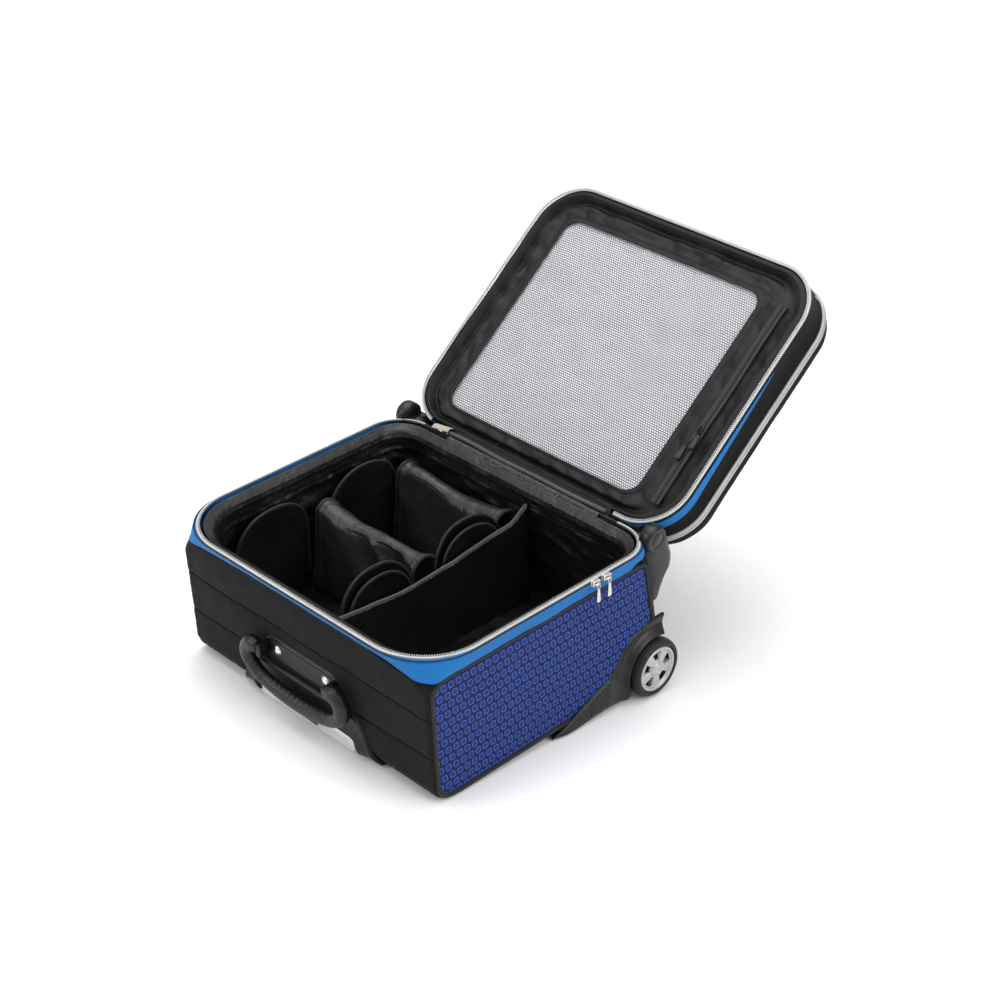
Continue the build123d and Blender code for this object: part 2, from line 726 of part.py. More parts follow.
# moulded arch round the trolley grip
with BuildPart() as grip_bezel:
    with BuildSketch(end_plane.offset(bezel_thickness)):
        with BuildLine() as bezel_line:
            Polyline(
                (-bezel_width / 2, 1),
                (-bezel_top_width / 2, bezel_height),
                (bezel_top_width / 2, bezel_height),
                (bezel_width / 2, 1),
                close=True,
            )
        make_face(bezel_line.edges())
        fillet(vertices().group_by(Axis.Y)[-1], radius=18)
    extrude(amount=-bezel_thickness - body_corner + 2)
    with BuildSketch(Plane.YZ) as bezel_back:
        side_outline(fit_gap)
    extrude(bezel_back.sketch, amount=bezel_width, both=True, mode=Mode.SUBTRACT)
    grip_hole()
grip_bezel.part.label = "grip_bezel"
export_step(grip_bezel.part, "parts/grip_bezel.step")

# axle stubs of both wheels
axle_start = wheel_inner - arch_clearance - 1
axle_reach = wheel_inner + wheel_width - 2 - axle_start
with BuildPart() as wheel_axles:
    for side in (-1, 1):
        with BuildSketch(Plane.YZ.offset(side * axle_start)):
            with Locations((wheel_y, wheel_z)):
                Circle(axle_radius)
        extrude(amount=side * axle_reach)
wheel_axles.part.label = "wheel_axles"
export_step(wheel_axles.part, "parts/wheel_axles.step")

# wheels and the moulded housings with their runners
fender_points = near_wheel(
    (-162, -20), (-101, 1), (-71, 8), (-56, 26), (-36, 49), (-12, 57), (24, 61), (28, 49), (18, 33), (0, 0), (-40, -29),
)
fender_points += [(runner_flat[1], -runner_depth), (runner_flat[0], -runner_depth)]
arch_points = near_wheel((-58, -29), (-58, 63), (18, 63), (18, 33), (0, 0), (-40, -29))
for side_name, side in {"left": -1, "right": 1}.items():
    with BuildPart() as wheel_housing:
        with BuildSketch(Plane.YZ.offset(half_width + fit_gap)):
            with BuildLine() as fender_line:
                Polyline(*fender_points, close=True)
            make_face(fender_line.edges())
            with Locations((wheel_y, wheel_z)):
                Circle(arch_radius, mode=Mode.SUBTRACT)
        extrude(amount=housing_lip)
        with BuildSketch(Plane.YZ.offset(runner_inner)):
            with BuildLine() as runner_line:
                Polyline(
                    (runner_ends[0], -fit_gap), (runner_flat[0], -runner_depth),
                    (runner_flat[1], -runner_depth), (runner_ends[1], -fit_gap), close=True,
                )
            make_face(runner_line.edges())
        extrude(amount=half_width + housing_lip / 2 - runner_inner)
        with BuildSketch(Plane.YZ.offset(wheel_inner - arch_clearance - 1)):
            with Locations((wheel_y, wheel_z)):
                Circle(housing_radius)
                Circle(axle_radius, mode=Mode.SUBTRACT)
            with Locations((wheel_y, wheel_z - 45)):
                Rectangle(100, 50, mode=Mode.SUBTRACT)
        extrude(amount=2.6)
        with BuildSketch(Plane.YZ.offset(wheel_inner - arch_clearance - 1)):
            with Locations((wheel_y, wheel_z)):
                Circle(housing_radius)
                Circle(arch_radius, mode=Mode.SUBTRACT)
            with BuildLine() as arch_line:
                Polyline(*arch_points, close=True)
            make_face(arch_line.edges(), mode=Mode.INTERSECT)
        extrude(amount=half_width + housing_lip - wheel_inner + arch_clearance + 1)
        if side < 0:
            mirror(about=Plane.YZ, mode=Mode.REPLACE)
    wheel_housing.part.label = f"wheel_housing_{side_name}"
    export_step(wheel_housing.part, f"parts/wheel_housing_{side_name}.step")

    with BuildPart() as tyre:
        with BuildSketch(Plane.YZ.offset(side * wheel_inner)):
            with Locations((wheel_y, wheel_z)):
                Circle(tyre_radius)
        extrude(amount=side * wheel_width)
        fillet(edges(), radius=5)
        with BuildSketch(Plane.YZ.offset(side * wheel_inner)):
            with Locations((wheel_y, wheel_z)):
                Circle(tyre_bore)
        extrude(amount=side * wheel_width, mode=Mode.SUBTRACT)
    tyre.part.label = f"tyre_{side_name}"
    export_step(tyre.part, f"parts/tyre_{side_name}.step")

    hub_inner = wheel_inner + 2
    hub_width = wheel_width - 4
    with BuildPart() as hub:
        with BuildSketch(Plane.YZ.offset(side * hub_inner)):
            with Locations((wheel_y, wheel_z)):
                Circle(hub_radius)
                Circle(hub_radius - hub_wall, mode=Mode.SUBTRACT)
        extrude(amount=side * hub_width)
        with BuildSketch(Plane.YZ.offset(side * hub_inner)):
            with Locations((wheel_y, wheel_z)):
                Circle(cap_radius + 2)
        extrude(amount=side * (hub_width - cap_thickness))
        with BuildSketch(Plane.YZ.offset(side * (hub_inner + hub_width / 2))):
            with Locations((wheel_y, wheel_z)):
                Circle(hub_radius - hub_wall / 2)
                with PolarLocations(hub_radius - hub_wall - 6, spoke_count):
                    RectangleRounded(9, 15, 3, mode=Mode.SUBTRACT)
        extrude(amount=side * (hub_width / 2 - 3))
        with BuildSketch(Plane.YZ.offset(side * (hub_inner - 1))):
            with Locations((wheel_y, wheel_z)):
                Circle(hub_bore_radius)
        extrude(amount=side * (hub_width + 4), mode=Mode.SUBTRACT)
    hub.part.label = f"wheel_hub_{side_name}"
    export_step(hub.part, f"parts/wheel_hub_{side_name}.step")

    cap_start = axle_start + axle_reach + fit_gap
    with BuildPart() as hub_cap:
        with BuildSketch(Plane.YZ.offset(side * (hub_inner + hub_width - cap_thickness))):
            with Locations((wheel_y, wheel_z)):
                Circle(cap_radius)
        extrude(amount=side * (cap_thickness + 2))
        with BuildSketch(Plane.YZ.offset(side * (hub_inner + hub_width - cap_thickness))):
            with Locations((wheel_y, wheel_z)):
                Circle(axle_radius + 0.5)
        extrude(amount=side * (cap_thickness + fit_gap), mode=Mode.SUBTRACT)
    hub_cap.part.label = f"hub_cap_{side_name}"
    export_step(hub_cap.part, f"parts/hub_cap_{side_name}.step")

    # stand foot at the back corner, with a flat pad for standing the bag upright
    with BuildPart() as stand_foot:
        with BuildSketch(Plane.YZ.offset(foot_outer - foot_width)):
            with BuildLine() as foot_line:
                Polyline(
                    *near_hinge((-17, -94), (13, -94), (13, -64)),
                    (foot_face, hinge_z - 50), (foot_face, hinge_z - 34),
                    *near_hinge((21, -2), (-35, -2), (-29, -42)), close=True,
                )
            make_face(foot_line.edges())
        extrude(amount=foot_width)
        chamfer(edges().group_by(Axis.X)[-1], length=4)
        with Locations(Location((foot_outer - barrel_width / 2, hinge_y, hinge_z - 2), (0, 90, 0))):
            Cylinder(barrel_radius, barrel_width)
        add(foot_relief(), mode=Mode.SUBTRACT)
        with BuildSketch(lid_plane.offset(1)):
            lid_sketch(-2 * fit_gap)
        extrude(amount=-2 * gusset_depth, mode=Mode.SUBTRACT)
        if side < 0:
            mirror(about=Plane.YZ, mode=Mode.REPLACE)
    stand_foot.part.label = f"stand_foot_{side_name}"
    export_step(stand_foot.part, f"parts/stand_foot_{side_name}.step")
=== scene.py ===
import json
import math

import bmesh
import bpy
import mathutils
import numpy as np
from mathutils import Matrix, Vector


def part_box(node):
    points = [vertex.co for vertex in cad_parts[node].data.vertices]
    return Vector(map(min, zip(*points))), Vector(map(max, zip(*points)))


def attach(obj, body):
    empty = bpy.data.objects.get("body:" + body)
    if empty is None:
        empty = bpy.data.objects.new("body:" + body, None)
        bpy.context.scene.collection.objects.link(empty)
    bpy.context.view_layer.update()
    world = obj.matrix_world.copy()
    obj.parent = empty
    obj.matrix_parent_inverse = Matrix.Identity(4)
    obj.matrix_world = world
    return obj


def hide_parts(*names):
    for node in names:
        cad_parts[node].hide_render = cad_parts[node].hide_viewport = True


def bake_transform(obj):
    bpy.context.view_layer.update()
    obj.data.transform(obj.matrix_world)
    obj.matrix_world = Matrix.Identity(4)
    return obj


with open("model.json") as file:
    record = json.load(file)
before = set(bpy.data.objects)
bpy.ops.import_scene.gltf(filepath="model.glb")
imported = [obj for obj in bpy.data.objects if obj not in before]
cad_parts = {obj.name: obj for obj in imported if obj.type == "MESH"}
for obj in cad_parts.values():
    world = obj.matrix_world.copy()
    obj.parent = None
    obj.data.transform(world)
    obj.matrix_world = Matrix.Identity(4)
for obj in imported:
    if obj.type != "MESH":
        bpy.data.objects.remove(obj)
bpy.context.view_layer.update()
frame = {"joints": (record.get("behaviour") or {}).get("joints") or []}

rng = np.random.default_rng(7)
joints = {joint["name"]: joint for joint in frame["joints"]}
print("frame loaded")

# the whole bag, read from the frame, in metres
bag = {
    "halfWidth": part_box("piping_right")[1].x,
    "halfLength": -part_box("back_panel")[0].y - 0.0013,
    "rimHalf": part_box("body_zip")[1].x,
    "rimTop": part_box("body_zip")[1].z + 0.0006,
    "rimCorner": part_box("body_zip")[1].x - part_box("hinge_binding")[1].x,
    "rearRimCorner": 0.052,
    "lowCorner": 0.005,
    "roll": 0.022,         # radius where the back turns up into the ends
}
wheel = {
    "y": joints["wheel_right_spin"]["pos_m"][1],
    "z": joints["wheel_right_spin"]["pos_m"][2],
    "radius": (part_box("tyre_right")[1].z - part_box("tyre_right")[0].z) / 2,
    "inner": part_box("tyre_right")[0].x,
    "outer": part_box("tyre_right")[1].x,
    "well": 0.0465,        # radius of the hollow in the body behind the wheel
}
hinge = {
    "y": joints["lid_hinge"]["pos_m"][1],
    "z": joints["lid_hinge"]["pos_m"][2],
    "rise": math.radians(180 - joints["lid_hinge"]["range_deg"][1]),
}
lid = {
    "start": 0.003,
    "length": 0.366,
    "half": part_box("lid_zip")[1].x,
    "corner": 0.062,
    "gusset": 0.046,
    "pocket": 0.026,
}


def smoothStep(low, high, value):
    # 0 below low, 1 above high, and a soft S curve between
    t = np.clip((value - low) / (high - low), 0, 1)
    return t * t * (3 - 2 * t)


def waveNoise(x, y, size, seed, layers=3):
    # soft even noise: a sum of sine waves in random directions, each layer half as large and twice as fine
    random = np.random.default_rng(seed)
    total = np.zeros(np.broadcast(x, y).shape)
    for layer in range(layers):
        for _ in range(5):
            angle, phase = random.uniform(0, math.tau, 2)
            stretch = random.uniform(0.7, 1.4) * (2 ** layer) / size
            total += np.sin((x * math.cos(angle) + y * math.sin(angle)) * stretch * math.tau + phase) / (2 ** layer)
    return total / 5


def creaseNoise(x, y, size, seed):
    # sharp-topped folds: one minus the size of the soft noise
    return 1 - np.abs(waveNoise(x, y, size, seed, 2)) * 1.6


def addPiece(name, points, faces, material, body=None, uv=None, smooth=True):
    mesh = bpy.data.meshes.new(name)
    mesh.from_pydata(np.asarray(points).reshape(-1, 3).tolist(), [], faces)
    if uv is not None:
        layer = mesh.uv_layers.new(name="UVMap")
        loops = np.empty(len(mesh.loops), dtype=np.int32)
        mesh.loops.foreach_get("vertex_index", loops)
        layer.data.foreach_set("uv", np.asarray(uv, dtype=np.float32).reshape(-1, 2)[loops].ravel())
    mesh.polygons.foreach_set("use_smooth", [smooth] * len(mesh.polygons))
    mesh.validate()
    mesh.update()
    piece = bpy.data.objects.new(name, mesh)
    bpy.context.scene.collection.objects.link(piece)
    mesh.materials.append(material)
    if body:
        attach(piece, body)
    return piece


def gridFaces(rows, columns, wrapRows=False, wrapColumns=False, start=0, flip=False):
    # quads of a rows x columns grid of points numbered row by row
    r = np.arange(rows if wrapRows else rows - 1)
    c = np.arange(columns if wrapColumns else columns - 1)
    r, c = np.meshgrid(r, c, indexing="ij")
    r2, c2 = (r + 1) % rows, (c + 1) % columns
    quads = np.stack([r * columns + c, r * columns + c2, r2 * columns + c2, r2 * columns + c], -1).reshape(-1, 4)
    if flip:
        quads = quads[:, ::-1]
    return (quads + start).tolist()


def gridPiece(name, points, material, body=None, uv=None, wrapRows=False, wrapColumns=False, flip=False, thick=0):
    # a surface given as a grid of points, with a wall behind it if thick is set
    rows, columns = points.shape[:2]
    faces = gridFaces(rows, columns, wrapRows, wrapColumns, flip=flip)
    piece = addPiece(name, points, faces, material, body, uv)
    if thick:
        wall = piece.modifiers.new("wall", "SOLIDIFY")
        wall.thickness = thick
        wall.offset = -1
    return piece


def frames(path, closed=False, up=(0, 0, 1)):
    # tangent, side and top directions along a path, each at right angles to the others
    path = np.asarray(path, float)
    if closed:
        tangent = np.roll(path, -1, 0) - np.roll(path, 1, 0)
    else:
        tangent = np.gradient(path, axis=0)
    tangent /= np.linalg.norm(tangent, axis=1, keepdims=True)
    up = np.broadcast_to(np.asarray(up, float), path.shape)
    side = np.cross(up, tangent)
    side /= np.linalg.norm(side, axis=1, keepdims=True)
    top = np.cross(tangent, side)
    return tangent, side, top


def sweepPoints(path, profile, closed=False, up=(0, 0, 1), scale=None):
    # a flat profile (across, above) carried along a path: path + across * side + above * top
    _, side, top = frames(path, closed, up)
    profile = np.asarray(profile, float)
    scale = np.ones(len(path)) if scale is None else scale
    across = profile[None, :, 0, None] * scale[:, None, None]
    above = profile[None, :, 1, None] * scale[:, None, None]
    return np.asarray(path)[:, None, :] + across * side[:, None, :] + above * top[:, None, :]


def circleProfile(radius, count=10, flat=1.0):
    angle = np.arange(count) / count * math.tau
    return np.stack([radius * np.cos(angle), radius * flat * np.sin(angle)], -1)


def sweepPiece(name, path, profile, material, body=None, closed=False, up=(0, 0, 1), scale=None, capped=True):
    points = sweepPoints(path, profile, closed, up, scale)
    rows, columns = points.shape[:2]
    faces = gridFaces(rows, columns, closed, True)
    if capped and not closed:
        faces.append(list(range(columns))[::-1])
        faces.append([(rows - 1) * columns + i for i in range(columns)])
    along = np.concatenate([[0], np.cumsum(np.linalg.norm(np.diff(np.asarray(path), axis=0), axis=1))])
    around = np.arange(columns) / columns * np.ptp(np.asarray(profile)) * 3
    uv = np.stack(np.meshgrid(along, around, indexing="ij"), -1)
    return addPiece(name, points, faces, material, body, uv)


def blockPieces(name, centres, sides, tops, tangents, size, material, body):
    # many small six-sided blocks in one mesh, one at each centre, turned to its three directions
    corners = np.array([(x, y, z) for x in (-1, 1) for y in (-1, 1) for z in (-1, 1)], float) / 2
    corners = corners * np.asarray(size)
    points = (centres[:, None, :] + corners[None, :, 0, None] * tangents[:, None, :]
              + corners[None, :, 1, None] * sides[:, None, :] + corners[None, :, 2, None] * tops[:, None, :])
    quads = np.array([(0, 1, 3, 2), (4, 6, 7, 5), (0, 4, 5, 1), (2, 3, 7, 6), (0, 2, 6, 4), (1, 5, 7, 3)])
    faces = (quads[None] + np.arange(len(centres))[:, None, None] * 8).reshape(-1, 4).tolist()
    return addPiece(name, points, faces, material, body, smooth=False)


def newMaterial(name):
    material = bpy.data.materials.new(name)
    material.use_nodes = True
    tree = material.node_tree
    shader = tree.nodes["Principled BSDF"]
    return material, tree, shader


def link(tree, source, target):
    tree.links.new(source, target)


def mathNode(tree, kind, a, b=None, clamp=False):
    node = tree.nodes.new("ShaderNodeMath")
    node.operation = kind
    node.use_clamp = clamp
    for socket, value in zip(node.inputs, (a, b)):
        if value is None:
            continue
        if isinstance(value, (int, float)):
            socket.default_value = value
        else:
            link(tree, value, socket)
    return node.outputs[0]


def coordinates(tree, source="Object", scale=(1, 1, 1), turn=(0, 0, 0)):
    texture = tree.nodes.new("ShaderNodeTexCoord")
    mapping = tree.nodes.new("ShaderNodeMapping")
    mapping.inputs["Scale"].default_value = scale
    mapping.inputs["Rotation"].default_value = turn
    link(tree, texture.outputs[source], mapping.inputs["Vector"])
    return mapping.outputs["Vector"]


def noiseNode(tree, vector, scale, detail=4, roughness=0.5):
    node = tree.nodes.new("ShaderNodeTexNoise")
    node.inputs["Scale"].default_value = scale
    node.inputs["Detail"].default_value = detail
    node.inputs["Roughness"].default_value = roughness
    link(tree, vector, node.inputs["Vector"])
    return node.outputs["Fac"]


def rampNode(tree, value, stops):
    node = tree.nodes.new("ShaderNodeValToRGB")
    ramp = node.color_ramp
    while len(ramp.elements) < len(stops):
        ramp.elements.new(0.5)
    for element, (place, colour) in zip(ramp.elements, stops):
        element.position = place
        element.color = (*colour, 1)
    link(tree, value, node.inputs["Fac"])
    return node.outputs["Color"]


def bumpNode(tree, height, strength, distance, shader, before=None):
    node = tree.nodes.new("ShaderNodeBump")
    node.inputs["Strength"].default_value = strength
    node.inputs["Distance"].default_value = distance
    link(tree, height, node.inputs["Height"])
    if before is not None:
        link(tree, before, node.inputs["Normal"])
    link(tree, node.outputs["Normal"], shader.inputs["Normal"])
    return node.outputs["Normal"]


def mixColour(tree, amount, first, second):
    node = tree.nodes.new("ShaderNodeMix")
    node.data_type = "RGBA"
    link(tree, amount, node.inputs["Factor"])
    for socket, value in ((node.inputs["A"], first), (node.inputs["B"], second)):
        if isinstance(value, tuple):
            socket.default_value = (*value, 1)
        else:
            link(tree, value, socket)
    return node.outputs["Result"]


def weaveHeight(tree, vector, pitch):
    # plain weave: threads one way where the sine product is positive and the other way where it is negative
    split = tree.nodes.new("ShaderNodeSeparateXYZ")
    link(tree, vector, split.inputs[0])
    u = mathNode(tree, "SINE", mathNode(tree, "MULTIPLY", split.outputs[0], math.pi / pitch))
    v = mathNode(tree, "SINE", mathNode(tree, "MULTIPLY", split.outputs[1], math.pi / pitch))
    return mathNode(tree, "ADD", mathNode(tree, "MULTIPLY", mathNode(tree, "MULTIPLY", u, v), 0.5), 0.5)


def fabricMaterial(name, colour, light, rough=0.85, pitch=0.0009, sheen=0.25, source="UV", strength=0.35, spec=0.3):
    # woven cloth: weave bump and tone, with slow patches of lighter and darker dye
    material, tree, shader = newMaterial(name)
    vector = coordinates(tree, source)
    objectVector = coordinates(tree, "Object")
    weave = weaveHeight(tree, vector, pitch)
    patches = noiseNode(tree, objectVector, 16, 5, 0.6)
    fine = noiseNode(tree, objectVector, 900, 2)
    tone = mathNode(tree, "ADD", mathNode(tree, "MULTIPLY", weave, 0.45), mathNode(tree, "MULTIPLY", patches, 0.4))
    tone = mathNode(tree, "ADD", tone, mathNode(tree, "MULTIPLY", fine, 0.2))
    link(tree, rampNode(tree, tone, [(0.25, colour), (0.85, light)]), shader.inputs["Base Color"])
    roughness = mathNode(tree, "ADD", mathNode(tree, "MULTIPLY", patches, 0.15), rough - 0.07)
    link(tree, roughness, shader.inputs["Roughness"])
    shader.inputs["Specular IOR Level"].default_value = spec
    shader.inputs["Sheen Weight"].default_value = sheen
    shader.inputs["Sheen Roughness"].default_value = 0.4
    first = bumpNode(tree, weave, strength, 0.0004, shader)
    bumpNode(tree, noiseNode(tree, objectVector, 60, 4), 0.25, 0.002, shader, first)
    return material


def printedMaterial(name):
    # navy cloth printed with staggered rows of rounded rings: the fourth-power distance makes a soft square
    motif = {"across": 0.0112, "up": 0.0122, "outer": 0.37, "inner": 0.27, "dot": 0.1, "lean": 0.18}
    material, tree, shader = newMaterial(name)
    vector = coordinates(tree, "UV")
    split = tree.nodes.new("ShaderNodeSeparateXYZ")
    link(tree, vector, split.inputs[0])
    row = mathNode(tree, "DIVIDE", split.outputs[1], motif["up"])
    rowIndex = mathNode(tree, "FLOOR", row)
    stagger = mathNode(tree, "MULTIPLY", mathNode(tree, "MODULO", rowIndex, 2), 0.5)
    column = mathNode(tree, "ADD", mathNode(tree, "DIVIDE", split.outputs[0], motif["across"]), stagger)
    v = mathNode(tree, "SUBTRACT", mathNode(tree, "SUBTRACT", row, rowIndex), 0.5)
    u = mathNode(tree, "SUBTRACT", mathNode(tree, "FRACT", column), 0.5)
    u = mathNode(tree, "ADD", u, mathNode(tree, "MULTIPLY", v, motif["lean"]))
    power = [mathNode(tree, "POWER", mathNode(tree, "ABSOLUTE", value), 3.0) for value in (u, v)]
    distance = mathNode(tree, "POWER", mathNode(tree, "ADD", power[0], power[1]), 1 / 3)
    outside = mathNode(tree, "LESS_THAN", distance, motif["outer"])
    inside = mathNode(tree, "GREATER_THAN", distance, motif["inner"])
    ring = mathNode(tree, "MULTIPLY", outside, inside)
    dot = mathNode(tree, "LESS_THAN", distance, motif["dot"])
    weave = weaveHeight(tree, vector, 0.0006)
    objectVector = coordinates(tree, "Object")
    patches = noiseNode(tree, objectVector, 260, 3)
    ground = mixColour(tree, outside, (0.0024, 0.0085, 0.068), (0.0045, 0.022, 0.165))
    ground = mixColour(tree, dot, ground, (0.010, 0.040, 0.24))
    ringTone = mathNode(tree, "MULTIPLY", ring, mathNode(tree, "ADD", mathNode(tree, "MULTIPLY", patches, 0.7), 0.45))
    printed = mixColour(tree, ringTone, ground, (0.065, 0.14, 0.50))
    shade = mathNode(tree, "ADD", mathNode(tree, "MULTIPLY", weave, 0.35), 0.62, clamp=True)
    link(tree, mixColour(tree, shade, (0.004, 0.006, 0.03), printed), shader.inputs["Base Color"])
    shader.inputs["Roughness"].default_value = 0.72
    shader.inputs["Specular IOR Level"].default_value = 0.22
    first = bumpNode(tree, weave, 0.3, 0.0003, shader)
    bumpNode(tree, ring, 0.15, 0.0002, shader, first)
    return material


def nylonMaterial(name, colour, light, rough=0.42):
    # coated nylon: fine weave under a soft gloss, with creases too small for the mesh
    material, tree, shader = newMaterial(name)
    vector = coordinates(tree, "Object")
    uvVector = coordinates(tree, "UV")
    weave = weaveHeight(tree, uvVector, 0.0007)
    crumple = noiseNode(tree, vector, 34, 5, 0.55)
    patches = noiseNode(tree, vector, 9, 3)
    link(tree, rampNode(tree, patches, [(0.3, colour), (0.75, light)]), shader.inputs["Base Color"])
    roughness = mathNode(tree, "ADD", mathNode(tree, "MULTIPLY", crumple, 0.3), rough - 0.12)
    link(tree, roughness, shader.inputs["Roughness"])
    shader.inputs["Specular IOR Level"].default_value = 0.42
    first = bumpNode(tree, weave, 0.18, 0.0003, shader)
    bumpNode(tree, crumple, 0.6, 0.006, shader, first)
    return material


def mouldedMaterial(name, colour, light, rough=0.45, grain=1400, strength=0.12):
    # moulded plastic: fine spark-eroded grain, with faint scuffs in the gloss
    material, tree, shader = newMaterial(name)
    vector = coordinates(tree, "Object")
    grainHeight = noiseNode(tree, vector, grain, 3)
    scuffs = noiseNode(tree, vector, 70, 6, 0.7)
    link(tree, rampNode(tree, scuffs, [(0.35, colour), (0.8, light)]), shader.inputs["Base Color"])
    link(tree, mathNode(tree, "ADD", mathNode(tree, "MULTIPLY", scuffs, 0.25), rough - 0.12), shader.inputs["Roughness"])
    shader.inputs["Specular IOR Level"].default_value = 0.36
    bumpNode(tree, grainHeight, strength, 0.0004, shader)
    return material


def metalMaterial(name, colour, rough=0.3, brushed=0.4, metallic=1.0):
    # bright metal or metallic paint with a faint brushed grain
    material, tree, shader = newMaterial(name)
    vector = coordinates(tree, "Object", (30, 900, 900))
    grain = noiseNode(tree, vector, 1.0, 4)
    spots = noiseNode(tree, coordinates(tree, "Object"), 120, 4)
    dark = tuple(c * 0.93 for c in colour)
    link(tree, rampNode(tree, spots, [(0.3, dark), (0.7, colour)]), shader.inputs["Base Color"])
    shader.inputs["Metallic"].default_value = metallic
    link(tree, mathNode(tree, "ADD", mathNode(tree, "MULTIPLY", spots, 0.08), rough - 0.04), shader.inputs["Roughness"])
    bumpNode(tree, grain, brushed * 0.06, 0.0001, shader)
    return material


def zipTapeMaterial(name, colour, light):
    # knitted tape: fine ribs across its width
    material, tree, shader = newMaterial(name)
    vector = coordinates(tree, "UV")
    split = tree.nodes.new("ShaderNodeSeparateXYZ")
    link(tree, vector, split.inputs[0])
    ribs = mathNode(tree, "SINE", mathNode(tree, "MULTIPLY", split.outputs[0], math.tau / 0.0014))
    ribs = mathNode(tree, "ADD", mathNode(tree, "MULTIPLY", ribs, 0.5), 0.5)
    patches = noiseNode(tree, coordinates(tree, "Object"), 40, 4)
    tone = mathNode(tree, "ADD", mathNode(tree, "MULTIPLY", ribs, 0.5), mathNode(tree, "MULTIPLY", patches, 0.5))
    link(tree, rampNode(tree, tone, [(0.15, colour), (0.8, light)]), shader.inputs["Base Color"])
    shader.inputs["Roughness"].default_value = 0.6
    bumpNode(tree, ribs, 0.5, 0.0003, shader)
    return material


def netMaterial(name):
    # knitted net: round holes in staggered rows, open where the distance from a hole's middle is small
    net = {"pitch": 0.0034, "hole": 0.425}
    material, tree, shader = newMaterial(name)
    vector = coordinates(tree, "UV")
    split = tree.nodes.new("ShaderNodeSeparateXYZ")
    link(tree, vector, split.inputs[0])
    row = mathNode(tree, "DIVIDE", split.outputs[1], net["pitch"] * 0.87)
    rowIndex = mathNode(tree, "FLOOR", row)
    stagger = mathNode(tree, "MULTIPLY", mathNode(tree, "MODULO", rowIndex, 2), 0.5)
    column = mathNode(tree, "ADD", mathNode(tree, "DIVIDE", split.outputs[0], net["pitch"]), stagger)
    v = mathNode(tree, "SUBTRACT", mathNode(tree, "SUBTRACT", row, rowIndex), 0.5)
    u = mathNode(tree, "SUBTRACT", mathNode(tree, "FRACT", column), 0.5)
    square = mathNode(tree, "ADD", mathNode(tree, "MULTIPLY", u, u), mathNode(tree, "MULTIPLY", v, v))
    thread = mathNode(tree, "GREATER_THAN", mathNode(tree, "SQRT", square), net["hole"])
    patches = noiseNode(tree, coordinates(tree, "Object"), 300, 3)
    link(tree, rampNode(tree, patches, [(0.3, (0.006, 0.006, 0.008)), (0.7, (0.02, 0.02, 0.025))]),
         shader.inputs["Base Color"])
    shader.inputs["Roughness"].default_value = 0.6
    link(tree, thread, shader.inputs["Alpha"])
    return material


finishes = {
    "blackCloth": fabricMaterial("blackCloth", (0.0018, 0.0018, 0.0021), (0.0078, 0.0078, 0.0084), sheen=0.03, spec=0.2),
    "printedCloth": printedMaterial("printedCloth"),
    "azureCloth": fabricMaterial("azureCloth", (0.0012, 0.090, 0.29), (0.0035, 0.175, 0.49), 0.7, 0.0012, 0.0),
    "bindingCloth": fabricMaterial("bindingCloth", (0.004, 0.004, 0.0045), (0.014, 0.014, 0.015), 0.6, 0.0007, 0.05),
    "greyBinding": fabricMaterial("greyBinding", (0.035, 0.035, 0.034), (0.08, 0.08, 0.077), 0.7, 0.0007, 0.05),
    "paleNylon": fabricMaterial("paleNylon", (0.84, 0.84, 0.91), (0.95, 0.95, 0.99), 0.6, 0.0012, 0.1, strength=0.15),
    "nylon": nylonMaterial("nylon", (0.0028, 0.0028, 0.0031), (0.0085, 0.0085, 0.0090), 0.30),
    # lighter copy of the lining nylon: its extra lightness is a painted sheen
    "saddleNylon": nylonMaterial("saddleNylon", (0.0090, 0.0090, 0.0092), (0.024, 0.024, 0.0240), 0.32),
    "moulding": mouldedMaterial("moulding", (0.0035, 0.0035, 0.0038), (0.0095, 0.0095, 0.010)),
    "gripMoulding": mouldedMaterial("gripMoulding", (0.0045, 0.0045, 0.0048), (0.0115, 0.0115, 0.0120), 0.34),
    "housing": mouldedMaterial("housing", (0.0032, 0.0032, 0.0035), (0.0095, 0.0095, 0.0100), 0.32),
    "floor": mouldedMaterial("floor", (0.86, 0.86, 0.86), (0.88, 0.88, 0.88), 0.8),
    "rubber": mouldedMaterial("rubber", (0.0035, 0.0035, 0.0035), (0.010, 0.010, 0.010), 0.55, 500, 0.25),
    "silverPaint": metalMaterial("silverPaint", (0.46, 0.46, 0.47), 0.34, 0.1, 0.6),
    "satinSilver": metalMaterial("satinSilver", (0.72, 0.72, 0.72), 0.30, 0.05, 0.6),
    "steel": metalMaterial("steel", (0.72, 0.72, 0.7), 0.25),
    "zipMetal": metalMaterial("zipMetal", (0.62, 0.6, 0.56), 0.3),
    "aluminium": metalMaterial("aluminium", (0.6, 0.61, 0.63), 0.35, 1.0),
    "toothSilver": metalMaterial("toothSilver", (0.42, 0.42, 0.41), 0.35, 0.2, 0.7),
    # black cloth darkened below the bag's own black: painted shade, as the lid's facing catches more light from above
    "facingCloth": fabricMaterial("facingCloth", (0.0014, 0.0014, 0.0016), (0.0060, 0.0060, 0.0064), 0.5, 0.0008, 0.0, spec=0.25),
    "silverTape": zipTapeMaterial("silverTape", (0.26, 0.26, 0.255), (0.56, 0.56, 0.55)),
    "blackTape": zipTapeMaterial("blackTape", (0.0030, 0.0030, 0.0034), (0.010, 0.010, 0.0105)),
    "creamTape": zipTapeMaterial("creamTape", (0.22, 0.20, 0.15), (0.38, 0.36, 0.27)),
    "net": netMaterial("net"),
    "board": mouldedMaterial("board", (0.010, 0.010, 0.010), (0.022, 0.022, 0.022), 0.6),
}
print("materials made")


